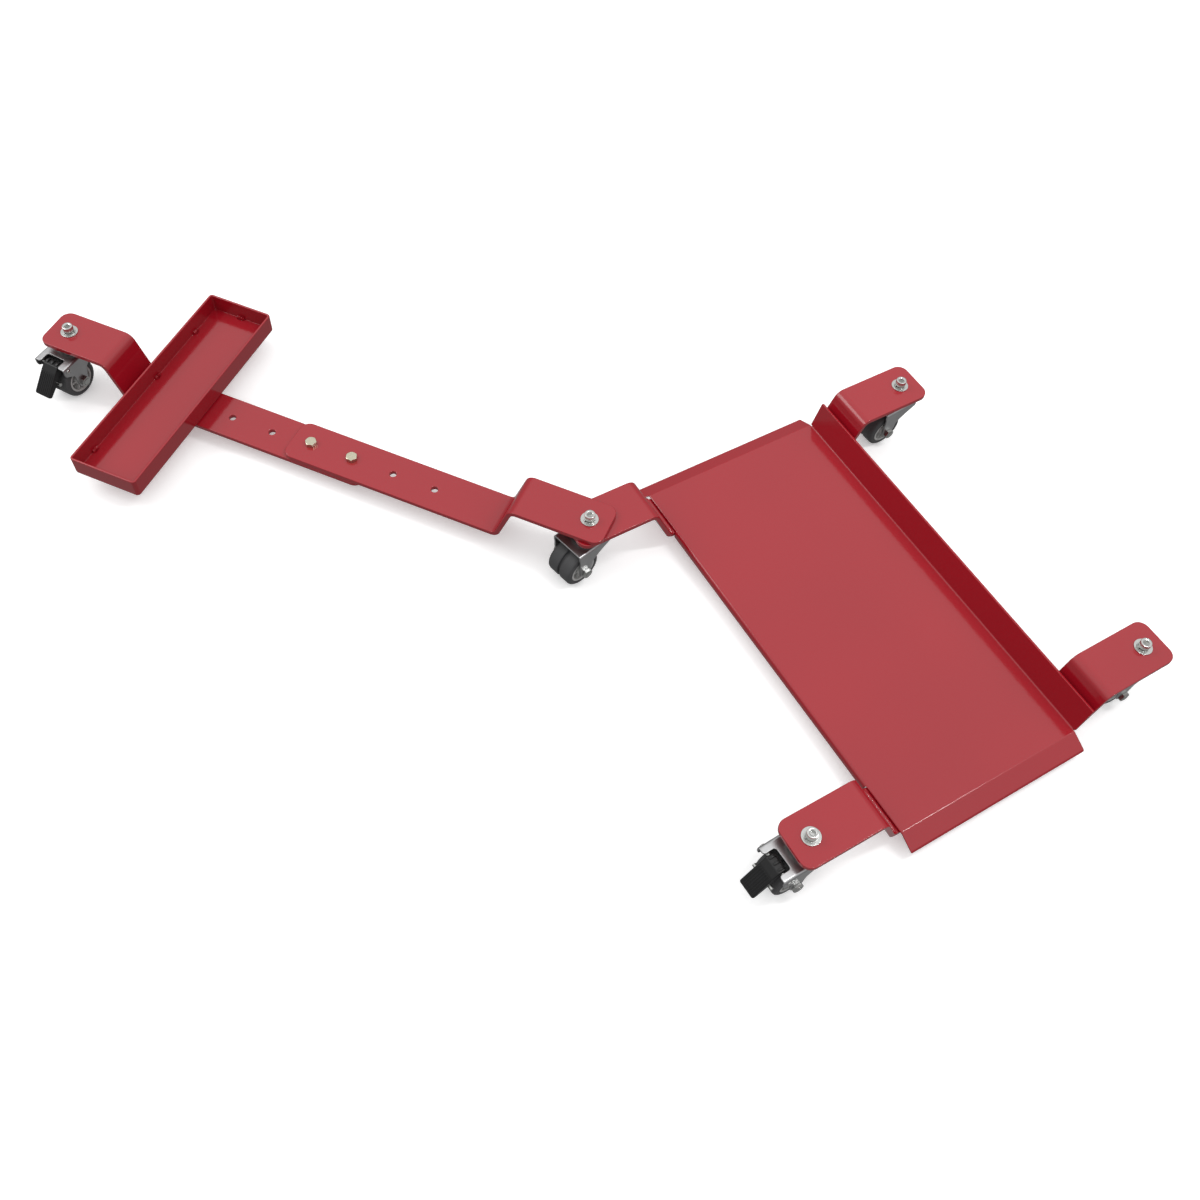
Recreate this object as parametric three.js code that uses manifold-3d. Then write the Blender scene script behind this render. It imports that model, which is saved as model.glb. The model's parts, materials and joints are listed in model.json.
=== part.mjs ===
// Motorcycle rear-wheel dolly: a low deck for the rear tyre on two cross bars, a hinged arm that
// carries a tray for the side stand, and five swivel castors, two of them with a foot brake.
//
// Frame: +X is the deck's guide-flange side, +Y is the bike's forward direction, +Z is up.
// The floor is z = 0 and the origin is the middle of the dolly's overall box on the floor.
// While the parts are made, x = 0 is the deck's left edge and y = 0 is its rear edge.
import * as THREE from 'three';
import { mergeVertices } from 'three/addons/utils/BufferGeometryUtils.js';
import Module from 'manifold-3d';

const wasm = await Module();
wasm.setup();

// ---------------------------------------------------------------- driving dimensions (mm)
const GAP = 0.3;

const DECK_LENGTH = 515;
const DECK_WIDTH = 254;
const DECK_TOP = 28.5;
const SHEET = 3;
const SHEET_BEND = 3.5;
const SIDE_DROP = 10;
const FLANGE_HEIGHT = 36;
const FLANGE_LEAN = THREE.MathUtils.degToRad(15);
const LIP_RUN = 16;
const LIP_DROP = 10;

const BAR_WIDTH = 60;
const BAR_THICKNESS = 6;
const BAR_BEND = 11;
const BAR_CORNER = 13;
const STRAP_TOP = 80;
const DECK_RISER_LEAN = THREE.MathUtils.degToRad(24);
const ARM_RISER_LEAN = THREE.MathUtils.degToRad(20);
const RISER_CLEARANCE = 6;
const CASTOR_OVERHANG = 107;
const BAR_INSET = 32;
const BAR_END = 26;

const ARM_ANGLE = THREE.MathUtils.degToRad(127);
const ARM_TOP = 32;
const ARM_STEP = 90;
const HOLE_PITCH = 58;
const FIRST_HOLE = 207;
const HOLE_COUNT = 4;
const HOLE_RADIUS = 4.4;
const BOLTED_HOLES = [2, 3];
const TRAY_CENTRE = 576.5;
const STAND_RISER = 635;
const STAND_CASTOR = 725;

const TRAY_LENGTH = 317;
const TRAY_DEPTH = 93;
const TRAY_HEIGHT = 27;
const TRAY_CORNER = 5;

const REAR_LEFT_HEADING = THREE.MathUtils.degToRad(182);
const REAR_RIGHT_HEADING = THREE.MathUtils.degToRad(180);
const FRONT_RIGHT_HEADING = THREE.MathUtils.degToRad(184);
const PIVOT_HEADING = THREE.MathUtils.degToRad(193);
const STAND_HEADING = THREE.MathUtils.degToRad(212);

const WHEEL_RADIUS = 25;
const TYRE_WIDTH = 38;
const TYRE_BORE = 18;
const TREAD_GROOVE = 3;
const TRAIL = 24;
const FORK_HALF_WIDTH = 23.5;
const FORK_SHEET = 2.5;
const FORK_TOP = 63;
const FORK_FRONT = 35;
const BRAKED_FORK_FRONT = 47;
const FORK_REAR = -15;
const BRAKE_NOTCH = 32;
const NOTCH_HALF_WIDTH = 13.5;
const RACE_RADIUS = 23;
const HUB_BOSS = 8;
const BRAKE_PIN = new THREE.Vector2(40, 55.5);
const BRAKE_PIN_RADIUS = 2.2;
const BRAKE_PIN_HEAD_RADIUS = 3.4;
const BRAKE_PIN_HEAD = 1.5;
const PEDAL_WIDTH = 23;
const RUNNING_GAP = 0.35;

const BOLT_RADIUS = 4;
const SPANNER_SIZE = 13;
const HEX_HEAD = 5.3;
const NUT_HEIGHT = 6.5;
const AXLE_NUT_HEIGHT = 5;
const THREAD_END = 2.5;
const SOCKET_HEAD_RADIUS = 6.5;
const SOCKET_HEAD = 8;
const SOCKET_SIZE = 6;
const WASHER_RADIUS = 10.8;
const WASHER = 1.8;

// ---------------------------------------------------------------- materials
const paint = { color: 0xa32026, roughness: 0.35, metalness: 0.1 };
const zinc = { color: 0xc8cbcc, roughness: 0.35, metalness: 0.9 };
const pressedSteel = { color: 0x9a9c9b, roughness: 0.45, metalness: 0.9 };
const tyreRubber = { color: 0x3d3d3f, roughness: 0.7, metalness: 0 };
const hubNylon = { color: 0xb4b4b2, roughness: 0.5, metalness: 0.3 };
const blackPlastic = { color: 0x18181a, roughness: 0.55, metalness: 0 };

// ---------------------------------------------------------------- solids
function toSolid(geometry) {
  const bare = geometry.clone();
  bare.deleteAttribute('normal');
  bare.deleteAttribute('uv');
  const merged = mergeVertices(bare, 1e-4);
  return new wasm.Manifold(new wasm.Mesh({
    numProp: 3,
    vertProperties: Float32Array.from(merged.attributes.position.array),
    triVerts: Uint32Array.from(merged.index.array),
  }));
}

function toGeometry(solid) {
  const mesh = solid.getMesh();
  const geometry = new THREE.BufferGeometry();
  geometry.setAttribute('position', new THREE.BufferAttribute(mesh.vertProperties, 3));
  geometry.setIndex(new THREE.BufferAttribute(mesh.triVerts, 1));
  geometry.computeVertexNormals();
  return geometry;
}

function cut(geometry, ...tools) {
  return toGeometry(tools.reduce((solid, tool) => solid.subtract(toSolid(tool)), toSolid(geometry)));
}

function common(first, second) {
  return toGeometry(toSolid(first).intersect(toSolid(second)));
}

function join(first, ...others) {
  return toGeometry(others.reduce((solid, other) => solid.add(toSolid(other)), toSolid(first)));
}

function flipFaces(geometry) {
  const { index, attributes } = geometry;
  const corners = index ?? attributes.position;
  const order = Array.from({ length: corners.count }, (_, corner) => (index ? index.getX(corner) : corner));
  for (let corner = 0; corner < order.length; corner += 3) {
    [order[corner + 1], order[corner + 2]] = [order[corner + 2], order[corner + 1]];
  }
  geometry.setIndex(order);
}

function place(name, geometry, look, parent) {
  const mesh = new THREE.Mesh(geometry, new THREE.MeshStandardMaterial(look));
  mesh.name = name;
  parent.add(mesh);
  return mesh;
}

// ---------------------------------------------------------------- shapes
function extrude(shape, depth) {
  return new THREE.ExtrudeGeometry(shape, { depth, bevelEnabled: false, curveSegments: 3 });
}

// An outline in (x, y) pushed up along +Z from z = bottom to z = top.
function slab(shape, bottom, top) {
  return extrude(shape, top - bottom).translate(0, 0, bottom);
}

// An outline in (x, z) pushed along +Y from y = from to y = to.
function profile(shape, from, to) {
  return extrude(shape, to - from).rotateX(Math.PI / 2).translate(0, to, 0);
}

// An outline in (y, z) pushed along +X from x = from to x = to.
function crossProfile(shape, from, to) {
  return extrude(shape, to - from).rotateX(Math.PI / 2).rotateZ(Math.PI / 2).translate(from, 0, 0);
}

function roundedRectangle(left, bottom, right, top, radius) {
  const shape = new THREE.Shape();
  shape.moveTo(left + radius, bottom);
  shape.lineTo(right - radius, bottom);
  shape.absarc(right - radius, bottom + radius, radius, -Math.PI / 2, 0);
  shape.lineTo(right, top - radius);
  shape.absarc(right - radius, top - radius, radius, 0, Math.PI / 2);
  shape.lineTo(left + radius, top);
  shape.absarc(left + radius, top - radius, radius, Math.PI / 2, Math.PI);
  shape.lineTo(left, bottom + radius);
  shape.absarc(left + radius, bottom + radius, radius, Math.PI, 1.5 * Math.PI);
  return shape;
}

// The outline of sheet or bar stock bent along a line of corners, with the same bend at each one.
function bentStrip(corners, thickness, bendRadius) {
  const steps = 3;
  const line = [];
  corners.forEach((corner, index) => {
    const before = corners[index - 1];
    const after = corners[index + 1];
    if (!before || !after) {
      const heading = (after ?? corner).clone().sub(before ?? corner).normalize();
      line.push({ point: corner, heading });
      return;
    }
    const entry = corner.clone().sub(before).normalize();
    const exit = after.clone().sub(corner).normalize();
    const turn = Math.atan2(entry.cross(exit), entry.dot(exit));
    const reach = bendRadius * Math.tan(Math.abs(turn) / 2);
    const side = new THREE.Vector2(-entry.y, entry.x).multiplyScalar(Math.sign(turn));
    const centre = corner.clone().addScaledVector(entry, -reach).addScaledVector(side, bendRadius);
    for (let step = 0; step <= steps; step += 1) {
      const angle = turn * step / steps;
      const heading = entry.clone().rotateAround(new THREE.Vector2(), angle);
      const spoke = side.clone().rotateAround(new THREE.Vector2(), angle);
      line.push({ point: centre.clone().addScaledVector(spoke, -bendRadius), heading });
    }
  });
  const offset = (distance) => ({ point, heading }) =>
    new THREE.Vector2(point.x - heading.y * distance, point.y + heading.x * distance);
  const upper = line.map(offset(thickness / 2));
  const lower = line.map(offset(-thickness / 2)).reverse();
  return new THREE.Shape([...upper, ...lower]);
}

function rod(radius, bottom, top, segments = 24) {
  return new THREE.CylinderGeometry(radius, radius, top - bottom, segments)
    .rotateX(Math.PI / 2).translate(0, 0, (bottom + top) / 2);
}

function hexagon(acrossFlats, bottom, top) {
  return rod(acrossFlats / Math.sqrt(3), bottom, top, 6);
}

// A solid turned about +Z from (radius, height) points.
function turned(points, segments = 24) {
  const outline = points.map(([radius, height]) => new THREE.Vector2(radius, height));
  return new THREE.LatheGeometry(outline, segments).rotateX(Math.PI / 2);
}

function nut(acrossFlats, bottom, top) {
  return cut(hexagon(acrossFlats, bottom, top), rod(BOLT_RADIUS + GAP, bottom - 1, top + 1, 12));
}

const alongY = (geometry) => geometry.rotateX(-Math.PI / 2);

// ---------------------------------------------------------------- deck
function makeDeck() {
  const half = SHEET / 2;
  const floor = DECK_TOP - half;
  const rise = FLANGE_HEIGHT + half;
  const corners = [
    new THREE.Vector2(half, DECK_TOP - SIDE_DROP),
    new THREE.Vector2(half, floor),
    new THREE.Vector2(DECK_WIDTH, floor),
    new THREE.Vector2(DECK_WIDTH + rise * Math.tan(FLANGE_LEAN), floor + rise),
  ];
  const pan = profile(bentStrip(corners, SHEET, SHEET_BEND), 0, DECK_LENGTH);
  const lipEnd = new THREE.Vector2(-LIP_RUN, floor - LIP_DROP);
  const lipFold = [new THREE.Vector2(LIP_RUN, floor), new THREE.Vector2(0, floor), lipEnd];
  const lipShape = bentStrip(lipFold, SHEET, SHEET_BEND);
  const rearLip = crossProfile(lipShape, SHEET, DECK_WIDTH);
  const frontLip = rearLip.clone().scale(1, -1, 1).translate(0, DECK_LENGTH, 0);
  flipFaces(frontLip);
  const sideGap = BAR_INSET + BAR_WIDTH / 2 + 1;
  const notchTop = DECK_TOP - SHEET;
  const notch = new THREE.BoxGeometry(4 * SHEET, sideGap + LIP_RUN, SIDE_DROP)
    .translate(0, (sideGap - LIP_RUN) / 2, notchTop - SIDE_DROP / 2);
  const frontNotch = notch.clone().translate(0, DECK_LENGTH - sideGap + LIP_RUN, 0);
  return cut(join(pan, rearLip, frontLip), notch, frontNotch);
}

// ---------------------------------------------------------------- bars
// A flat bar bent in the (x, z) plane, with rounded end corners, centred on y = 0.
function makeBar(corners, start, end, holes) {
  const above = STRAP_TOP + 2 * BAR_THICKNESS;
  const strip = profile(bentStrip(corners, BAR_THICKNESS, BAR_BEND), -BAR_WIDTH / 2, BAR_WIDTH / 2);
  const side = BAR_WIDTH / 2 + 0.01;
  const plan = roundedRectangle(start, -side, end, side, BAR_CORNER);
  const rounded = common(strip, slab(plan, 0, above));
  const drills = holes.map((x) => rod(HOLE_RADIUS, 0, above, 12).translate(x, 0, 0));
  return cut(rounded, ...drills);
}

function makeCrossBar() {
  const half = BAR_THICKNESS / 2;
  const high = STRAP_TOP - half;
  const low = DECK_TOP - SHEET - GAP - half;
  const lean = (high - low) * Math.tan(DECK_RISER_LEAN);
  const leftEnd = -CASTOR_OVERHANG - BAR_END;
  const rightEnd = DECK_WIDTH - leftEnd;
  const corners = [
    new THREE.Vector2(leftEnd, high),
    new THREE.Vector2(-RISER_CLEARANCE - lean, high),
    new THREE.Vector2(-RISER_CLEARANCE, low),
    new THREE.Vector2(DECK_WIDTH + RISER_CLEARANCE, low),
    new THREE.Vector2(DECK_WIDTH + RISER_CLEARANCE + lean, high),
    new THREE.Vector2(rightEnd, high),
  ];
  return makeBar(corners, leftEnd, rightEnd, [-CASTOR_OVERHANG, DECK_WIDTH + CASTOR_OVERHANG]);
}

const armHoles = Array.from({ length: HOLE_COUNT }, (_, index) => FIRST_HOLE + index * HOLE_PITCH);
const trayBarHoles = armHoles.map((x) => x + BOLTED_HOLES[0] * HOLE_PITCH);
const PIVOT_PLATE_TOP = STRAP_TOP + GAP + BAR_THICKNESS;
const ARM_BOTTOM = ARM_TOP - BAR_THICKNESS;
const TRAY_BAR_TOP = ARM_BOTTOM - GAP;
const TRAY_BOTTOM = TRAY_BAR_TOP + GAP;

function makeArmBar() {
  const half = BAR_THICKNESS / 2;
  const high = PIVOT_PLATE_TOP - half;
  const low = ARM_TOP - half;
  const lean = (high - low) * Math.tan(ARM_RISER_LEAN);
  const end = armHoles.at(-1) + BAR_END;
  const corners = [
    new THREE.Vector2(-BAR_END, high),
    new THREE.Vector2(ARM_STEP, high),
    new THREE.Vector2(ARM_STEP + lean, low),
    new THREE.Vector2(end, low),
  ];
  return makeBar(corners, -BAR_END, end, [0, ...armHoles]);
}

function makeTrayBar() {
  const half = BAR_THICKNESS / 2;
  const high = STRAP_TOP - half;
  const low = TRAY_BAR_TOP - half;
  const lean = (high - low) * Math.tan(ARM_RISER_LEAN);
  const start = trayBarHoles[0] - BAR_END;
  const end = STAND_CASTOR + BAR_END;
  const corners = [
    new THREE.Vector2(start, low),
    new THREE.Vector2(STAND_RISER, low),
    new THREE.Vector2(STAND_RISER + lean, high),
    new THREE.Vector2(end, high),
  ];
  return makeBar(corners, start, end, [...trayBarHoles, STAND_CASTOR]);
}

function makeStandTray() {
  const left = TRAY_CENTRE - TRAY_DEPTH / 2;
  const right = TRAY_CENTRE + TRAY_DEPTH / 2;
  const side = TRAY_LENGTH / 2;
  const rim = TRAY_BOTTOM + TRAY_HEIGHT;
  const outer = roundedRectangle(left, -side, right, side, TRAY_CORNER);
  const inner = roundedRectangle(
    left + SHEET, -side + SHEET, right - SHEET, side - SHEET, TRAY_CORNER - SHEET);
  return cut(slab(outer, TRAY_BOTTOM, rim), slab(inner, TRAY_BOTTOM + SHEET, rim + 1));
}

function makeArmBolt() {
  const headBottom = ARM_TOP + GAP;
  const shankEnd = TRAY_BAR_TOP - BAR_THICKNESS - NUT_HEIGHT - THREAD_END;
  const shank = rod(BOLT_RADIUS, shankEnd, headBottom + 1, 12);
  return join(hexagon(SPANNER_SIZE, headBottom, headBottom + HEX_HEAD), shank);
}

// ---------------------------------------------------------------- castors
// In a castor's own frame x = y = 0 is the kingpin, +X points to the trailing wheel and z = 0
// is the floor.
function makeKingpin(seat) {
  const headBottom = seat + 2 * GAP + WASHER;
  const headTop = headBottom + SOCKET_HEAD;
  const shankBottom = FORK_TOP - FORK_SHEET - GAP - NUT_HEIGHT - THREAD_END;
  const chamfer = 0.8;
  const body = turned([
    [0, shankBottom], [BOLT_RADIUS, shankBottom], [BOLT_RADIUS, headBottom],
    [SOCKET_HEAD_RADIUS, headBottom], [SOCKET_HEAD_RADIUS, headTop - chamfer],
    [SOCKET_HEAD_RADIUS - chamfer, headTop], [0, headTop],
  ], 16);
  return cut(body, hexagon(SOCKET_SIZE, headTop - SOCKET_HEAD / 2, headTop + 1));
}

function makeWasher(seat) {
  const bore = BOLT_RADIUS + GAP;
  const bottom = seat + GAP;
  const top = bottom + WASHER;
  return turned([
    [bore, bottom], [WASHER_RADIUS, bottom], [WASHER_RADIUS, top], [bore, top], [bore, bottom],
  ], 20);
}

function makeSwivelRace() {
  const bore = BOLT_RADIUS + GAP;
  const top = STRAP_TOP - BAR_THICKNESS - GAP;
  const bottom = FORK_TOP + RUNNING_GAP;
  return turned([
    [bore, bottom], [RACE_RADIUS - 5, bottom], [RACE_RADIUS - 3, bottom + 4], [RACE_RADIUS, bottom + 5],
    [RACE_RADIUS, top - 2], [RACE_RADIUS - 2, top], [bore, top], [bore, bottom],
  ], 20);
}

function makeFork(braked) {
  const front = braked ? BRAKED_FORK_FRONT : FORK_FRONT;
  const side = new THREE.Shape();
  side.moveTo(FORK_REAR, FORK_TOP + 1);
  side.lineTo(FORK_REAR, FORK_TOP - 6);
  side.quadraticCurveTo(6, FORK_TOP - 16, 13, 39);
  side.lineTo(TRAIL - HUB_BOSS, WHEEL_RADIUS + 1);
  side.absarc(TRAIL, WHEEL_RADIUS, HUB_BOSS, Math.PI, 2 * Math.PI);
  side.lineTo(FORK_FRONT - 1, 42);
  side.lineTo(front - 1, FORK_TOP - 13);
  side.lineTo(front, FORK_TOP - 8);
  side.lineTo(front, FORK_TOP + 1);
  const outer = roundedRectangle(-FORK_HALF_WIDTH, -10, FORK_HALF_WIDTH, FORK_TOP, 3);
  const inner = FORK_HALF_WIDTH - FORK_SHEET;
  const hollow = new THREE.BoxGeometry(100, 2 * inner, FORK_TOP - FORK_SHEET + 10)
    .translate(0, 0, (FORK_TOP - FORK_SHEET - 10) / 2);
  const shell = common(crossProfile(outer, FORK_REAR - 5, front + 5), profile(side, -30, 30));
  const tools = [
    hollow,
    rod(BOLT_RADIUS + RUNNING_GAP, 40, 80, 12),
    alongY(rod(BOLT_RADIUS + GAP, -30, 30, 12)).translate(TRAIL, 0, WHEEL_RADIUS),
  ];
  if (braked) {
    const notchLength = BRAKED_FORK_FRONT + 5 - BRAKE_NOTCH;
    tools.push(new THREE.BoxGeometry(notchLength, 2 * NOTCH_HALF_WIDTH, 20)
      .translate(BRAKE_NOTCH + notchLength / 2, 0, FORK_TOP));
    tools.push(alongY(rod(BRAKE_PIN_RADIUS + GAP, -30, 30, 12)).translate(BRAKE_PIN.x, 0, BRAKE_PIN.y));
  }
  return cut(shell, ...tools);
}

function makeTyre() {
  const half = TYRE_WIDTH / 2;
  const groove = TREAD_GROOVE / 2;
  const shoulder = 3;
  const floor = WHEEL_RADIUS - 3.5;
  return alongY(turned([
    [TYRE_BORE, -half], [WHEEL_RADIUS - shoulder, -half], [WHEEL_RADIUS, -half + shoulder],
    [WHEEL_RADIUS, -groove - 1], [floor, -groove], [floor, groove], [WHEEL_RADIUS, groove + 1],
    [WHEEL_RADIUS, half - shoulder], [WHEEL_RADIUS - shoulder, half], [TYRE_BORE, half], [TYRE_BORE, -half],
  ], 28));
}

function makeHub() {
  const half = TYRE_WIDTH / 2 - 0.5;
  const rim = TYRE_BORE - GAP;
  const bore = BOLT_RADIUS + RUNNING_GAP;
  const web = half - 5;
  return alongY(turned([
    [bore, -half], [HUB_BOSS, -half], [HUB_BOSS, -web], [rim - 3, -web], [rim - 2, -half],
    [rim, -half], [rim, half], [rim - 2, half], [rim - 3, web], [HUB_BOSS, web],
    [HUB_BOSS, half], [bore, half], [bore, -half],
  ], 20));
}

function makeAxleBolt() {
  const outside = FORK_HALF_WIDTH + GAP;
  const head = hexagon(SPANNER_SIZE, -outside - HEX_HEAD, -outside);
  const shankEnd = outside + AXLE_NUT_HEIGHT + THREAD_END / 2;
  return alongY(join(head, rod(BOLT_RADIUS, -outside - 1, shankEnd, 12)));
}

function makeAxleNut() {
  const outside = FORK_HALF_WIDTH + GAP;
  return alongY(nut(SPANNER_SIZE, outside, outside + AXLE_NUT_HEIGHT));
}

function makeBrakePedal() {
  const sideView = new THREE.Shape();
  sideView.moveTo(-6, -4.5);
  sideView.lineTo(2, -7);
  sideView.lineTo(12, -16);
  sideView.lineTo(30, -29.5);
  sideView.lineTo(35, -24.5);
  sideView.lineTo(12, -1);
  sideView.lineTo(5, 5);
  sideView.lineTo(-5, 4.5);
  const solid = profile(sideView, -PEDAL_WIDTH / 2, PEDAL_WIDTH / 2);
  return cut(solid, alongY(rod(BRAKE_PIN_RADIUS + GAP, -PEDAL_WIDTH, PEDAL_WIDTH, 12)));
}

function makeBrakePin() {
  const seat = FORK_HALF_WIDTH + GAP;
  const end = seat + BRAKE_PIN_HEAD;
  return alongY(turned([
    [0, -end], [BRAKE_PIN_HEAD_RADIUS, -end], [BRAKE_PIN_HEAD_RADIUS, -seat],
    [BRAKE_PIN_RADIUS, -seat], [BRAKE_PIN_RADIUS, seat], [BRAKE_PIN_HEAD_RADIUS, seat],
    [BRAKE_PIN_HEAD_RADIUS, end], [0, end],
  ], 10));
}

function addCastor(name, x, y, heading, seat, braked, parent) {
  const castor = new THREE.Group();
  castor.position.set(x, y, 0);
  castor.rotation.z = heading;
  parent.add(castor);
  place(`${name}_kingpin`, makeKingpin(seat), zinc, castor);
  place(`${name}_kingpin_washer`, makeWasher(seat), zinc, castor);
  const nutTop = FORK_TOP - FORK_SHEET - GAP;
  place(`${name}_kingpin_nut`, nut(SPANNER_SIZE, nutTop - NUT_HEIGHT, nutTop), zinc, castor);
  place(`${name}_swivel_race`, makeSwivelRace(), zinc, castor);
  place(`${name}_fork`, makeFork(braked), pressedSteel, castor);
  const wheel = new THREE.Group();
  wheel.position.set(TRAIL, 0, WHEEL_RADIUS);
  castor.add(wheel);
  place(`${name}_tyre`, makeTyre(), tyreRubber, wheel);
  place(`${name}_hub`, makeHub(), hubNylon, wheel);
  place(`${name}_axle_bolt`, makeAxleBolt(), zinc, wheel);
  place(`${name}_axle_nut`, makeAxleNut(), zinc, wheel);
  if (braked) {
    const brake = new THREE.Group();
    brake.position.set(BRAKE_PIN.x, 0, BRAKE_PIN.y);
    castor.add(brake);
    place(`${name}_brake_pedal`, makeBrakePedal(), blackPlastic, brake);
    place(`${name}_brake_pin`, makeBrakePin(), zinc, brake);
  }
}

// ---------------------------------------------------------------- assembly
const dolly = new THREE.Group();
place('deck', makeDeck(), paint, dolly);

const rearBarY = BAR_INSET;
const frontBarY = DECK_LENGTH - BAR_INSET;
const rightCastorX = DECK_WIDTH + CASTOR_OVERHANG;
place('rear_cross_bar', makeCrossBar(), paint, dolly).position.y = rearBarY;
place('front_cross_bar', makeCrossBar(), paint, dolly).position.y = frontBarY;

addCastor('rear_left', -CASTOR_OVERHANG, rearBarY, REAR_LEFT_HEADING, STRAP_TOP, true, dolly);
addCastor('rear_right', rightCastorX, rearBarY, REAR_RIGHT_HEADING, STRAP_TOP, false, dolly);
addCastor('front_right', rightCastorX, frontBarY, FRONT_RIGHT_HEADING, STRAP_TOP, false, dolly);
addCastor('pivot', -CASTOR_OVERHANG, frontBarY, PIVOT_HEADING, PIVOT_PLATE_TOP, false, dolly);

const arm = new THREE.Group();
arm.position.set(-CASTOR_OVERHANG, frontBarY, 0);
arm.rotation.z = ARM_ANGLE;
dolly.add(arm);
place('arm_bar', makeArmBar(), paint, arm);
place('tray_bar', makeTrayBar(), paint, arm);
place('stand_tray', makeStandTray(), paint, arm);
['inner', 'outer'].forEach((end, index) => {
  const x = armHoles[BOLTED_HOLES[index]];
  place(`arm_bolt_${end}`, makeArmBolt(), zinc, arm).position.x = x;
  const nutTop = TRAY_BAR_TOP - BAR_THICKNESS - GAP;
  const armNut = nut(SPANNER_SIZE, nutTop - NUT_HEIGHT, nutTop);
  place(`arm_nut_${end}`, armNut, zinc, arm).position.x = x;
});
addCastor('stand', STAND_CASTOR, 0, STAND_HEADING - ARM_ANGLE, STRAP_TOP, true, arm);

// The origin moves to the middle of the overall box, on the floor.
const middle = new THREE.Box3().setFromObject(dolly, true).getCenter(new THREE.Vector3());
dolly.position.set(-middle.x, -middle.y, 0);

export default dolly;
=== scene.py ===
"""Looks of a motorcycle rear-wheel dolly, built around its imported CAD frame.

Sizes in the classes are millimetres, and a mesh becomes metres when its piece is made. The deck's
own frame has x = 0 at its left edge, y = 0 at its rear edge and the floor at z = 0. The arm's frame
has the pivot's kingpin at x = y = 0 and +X along the arm. A castor's frame has its kingpin at
x = y = 0 and +X towards the trailing wheel.
"""

import json
import logging
import math
from collections.abc import Callable, Sequence
from dataclasses import dataclass, field
from enum import Enum

import bmesh
import bpy
from mathutils import Matrix, Vector


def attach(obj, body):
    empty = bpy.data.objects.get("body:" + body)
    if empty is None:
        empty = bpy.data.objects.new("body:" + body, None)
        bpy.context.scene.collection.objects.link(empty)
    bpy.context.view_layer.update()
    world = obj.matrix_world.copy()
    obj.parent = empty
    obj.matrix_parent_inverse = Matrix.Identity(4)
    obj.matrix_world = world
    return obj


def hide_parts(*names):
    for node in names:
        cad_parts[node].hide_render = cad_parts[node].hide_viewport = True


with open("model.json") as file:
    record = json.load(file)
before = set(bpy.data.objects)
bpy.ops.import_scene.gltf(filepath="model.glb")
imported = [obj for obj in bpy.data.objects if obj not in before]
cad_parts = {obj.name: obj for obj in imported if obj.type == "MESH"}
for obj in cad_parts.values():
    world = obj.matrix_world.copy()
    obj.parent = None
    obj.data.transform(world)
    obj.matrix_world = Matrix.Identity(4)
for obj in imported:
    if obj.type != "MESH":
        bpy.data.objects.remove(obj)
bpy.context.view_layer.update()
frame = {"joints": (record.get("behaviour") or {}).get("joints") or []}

LOG = logging.getLogger("dolly")
MM = 0.001
# The least 1 + cos(turn) that a moved outline uses, so that its sharp corners don't shoot out.
MITRE_FLOOR = 0.4
# The share of a side that the rounding of one of its corners may take.
SIDE_SHARE = 0.48

Pair = tuple[float, float]
Triple = tuple[float, float, float]


class Slot(Enum):
    """The record's material slots."""

    RED_PAINT = "red_paint"
    ZINC = "zinc"
    PRESSED_STEEL = "pressed_steel"
    WHEEL_RUBBER = "wheel_rubber"
    GREY_NYLON = "grey_nylon"
    BLACK_PLASTIC = "black_plastic"


# ---------------------------------------------------------------- node trees
class Term:
    """A node's output, which sums, products and powers can be written with."""

    def __init__(self, graph: "Graph", socket: bpy.types.NodeSocket) -> None:
        """Keeps the output and the graph that it belongs to."""
        self.graph = graph
        self.socket = socket

    def _math(self, operation: str, first: "Term | float", second: "Term | float") -> "Term":
        """Adds one Math node and returns its output."""
        return self.graph.node("ShaderNodeMath", {0: first, 1: second}, operation=operation)

    def __add__(self, other: "Term | float") -> "Term":
        """This plus other."""
        return self._math("ADD", self, other)

    def __radd__(self, other: float) -> "Term":
        """Other plus this."""
        return self._math("ADD", other, self)

    def __sub__(self, other: "Term | float") -> "Term":
        """This less other."""
        return self._math("SUBTRACT", self, other)

    def __rsub__(self, other: float) -> "Term":
        """Other less this."""
        return self._math("SUBTRACT", other, self)

    def __mul__(self, other: "Term | float") -> "Term":
        """This times other."""
        return self._math("MULTIPLY", self, other)

    def __rmul__(self, other: float) -> "Term":
        """Other times this."""
        return self._math("MULTIPLY", other, self)

    def __pow__(self, other: float) -> "Term":
        """This to the power of other."""
        return self._math("POWER", self, other)

    def rise(self, low: float, high: float) -> "Term":
        """0 below low, 1 above high and a smooth step between them.

        Args:
            low: The value where the step starts.
            high: The value where it ends.

        Returns:
            The step's output.
        """
        values = {"Value": self, "From Min": low, "From Max": high}
        return self.graph.node("ShaderNodeMapRange", values, interpolation_type="SMOOTHSTEP")


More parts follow.
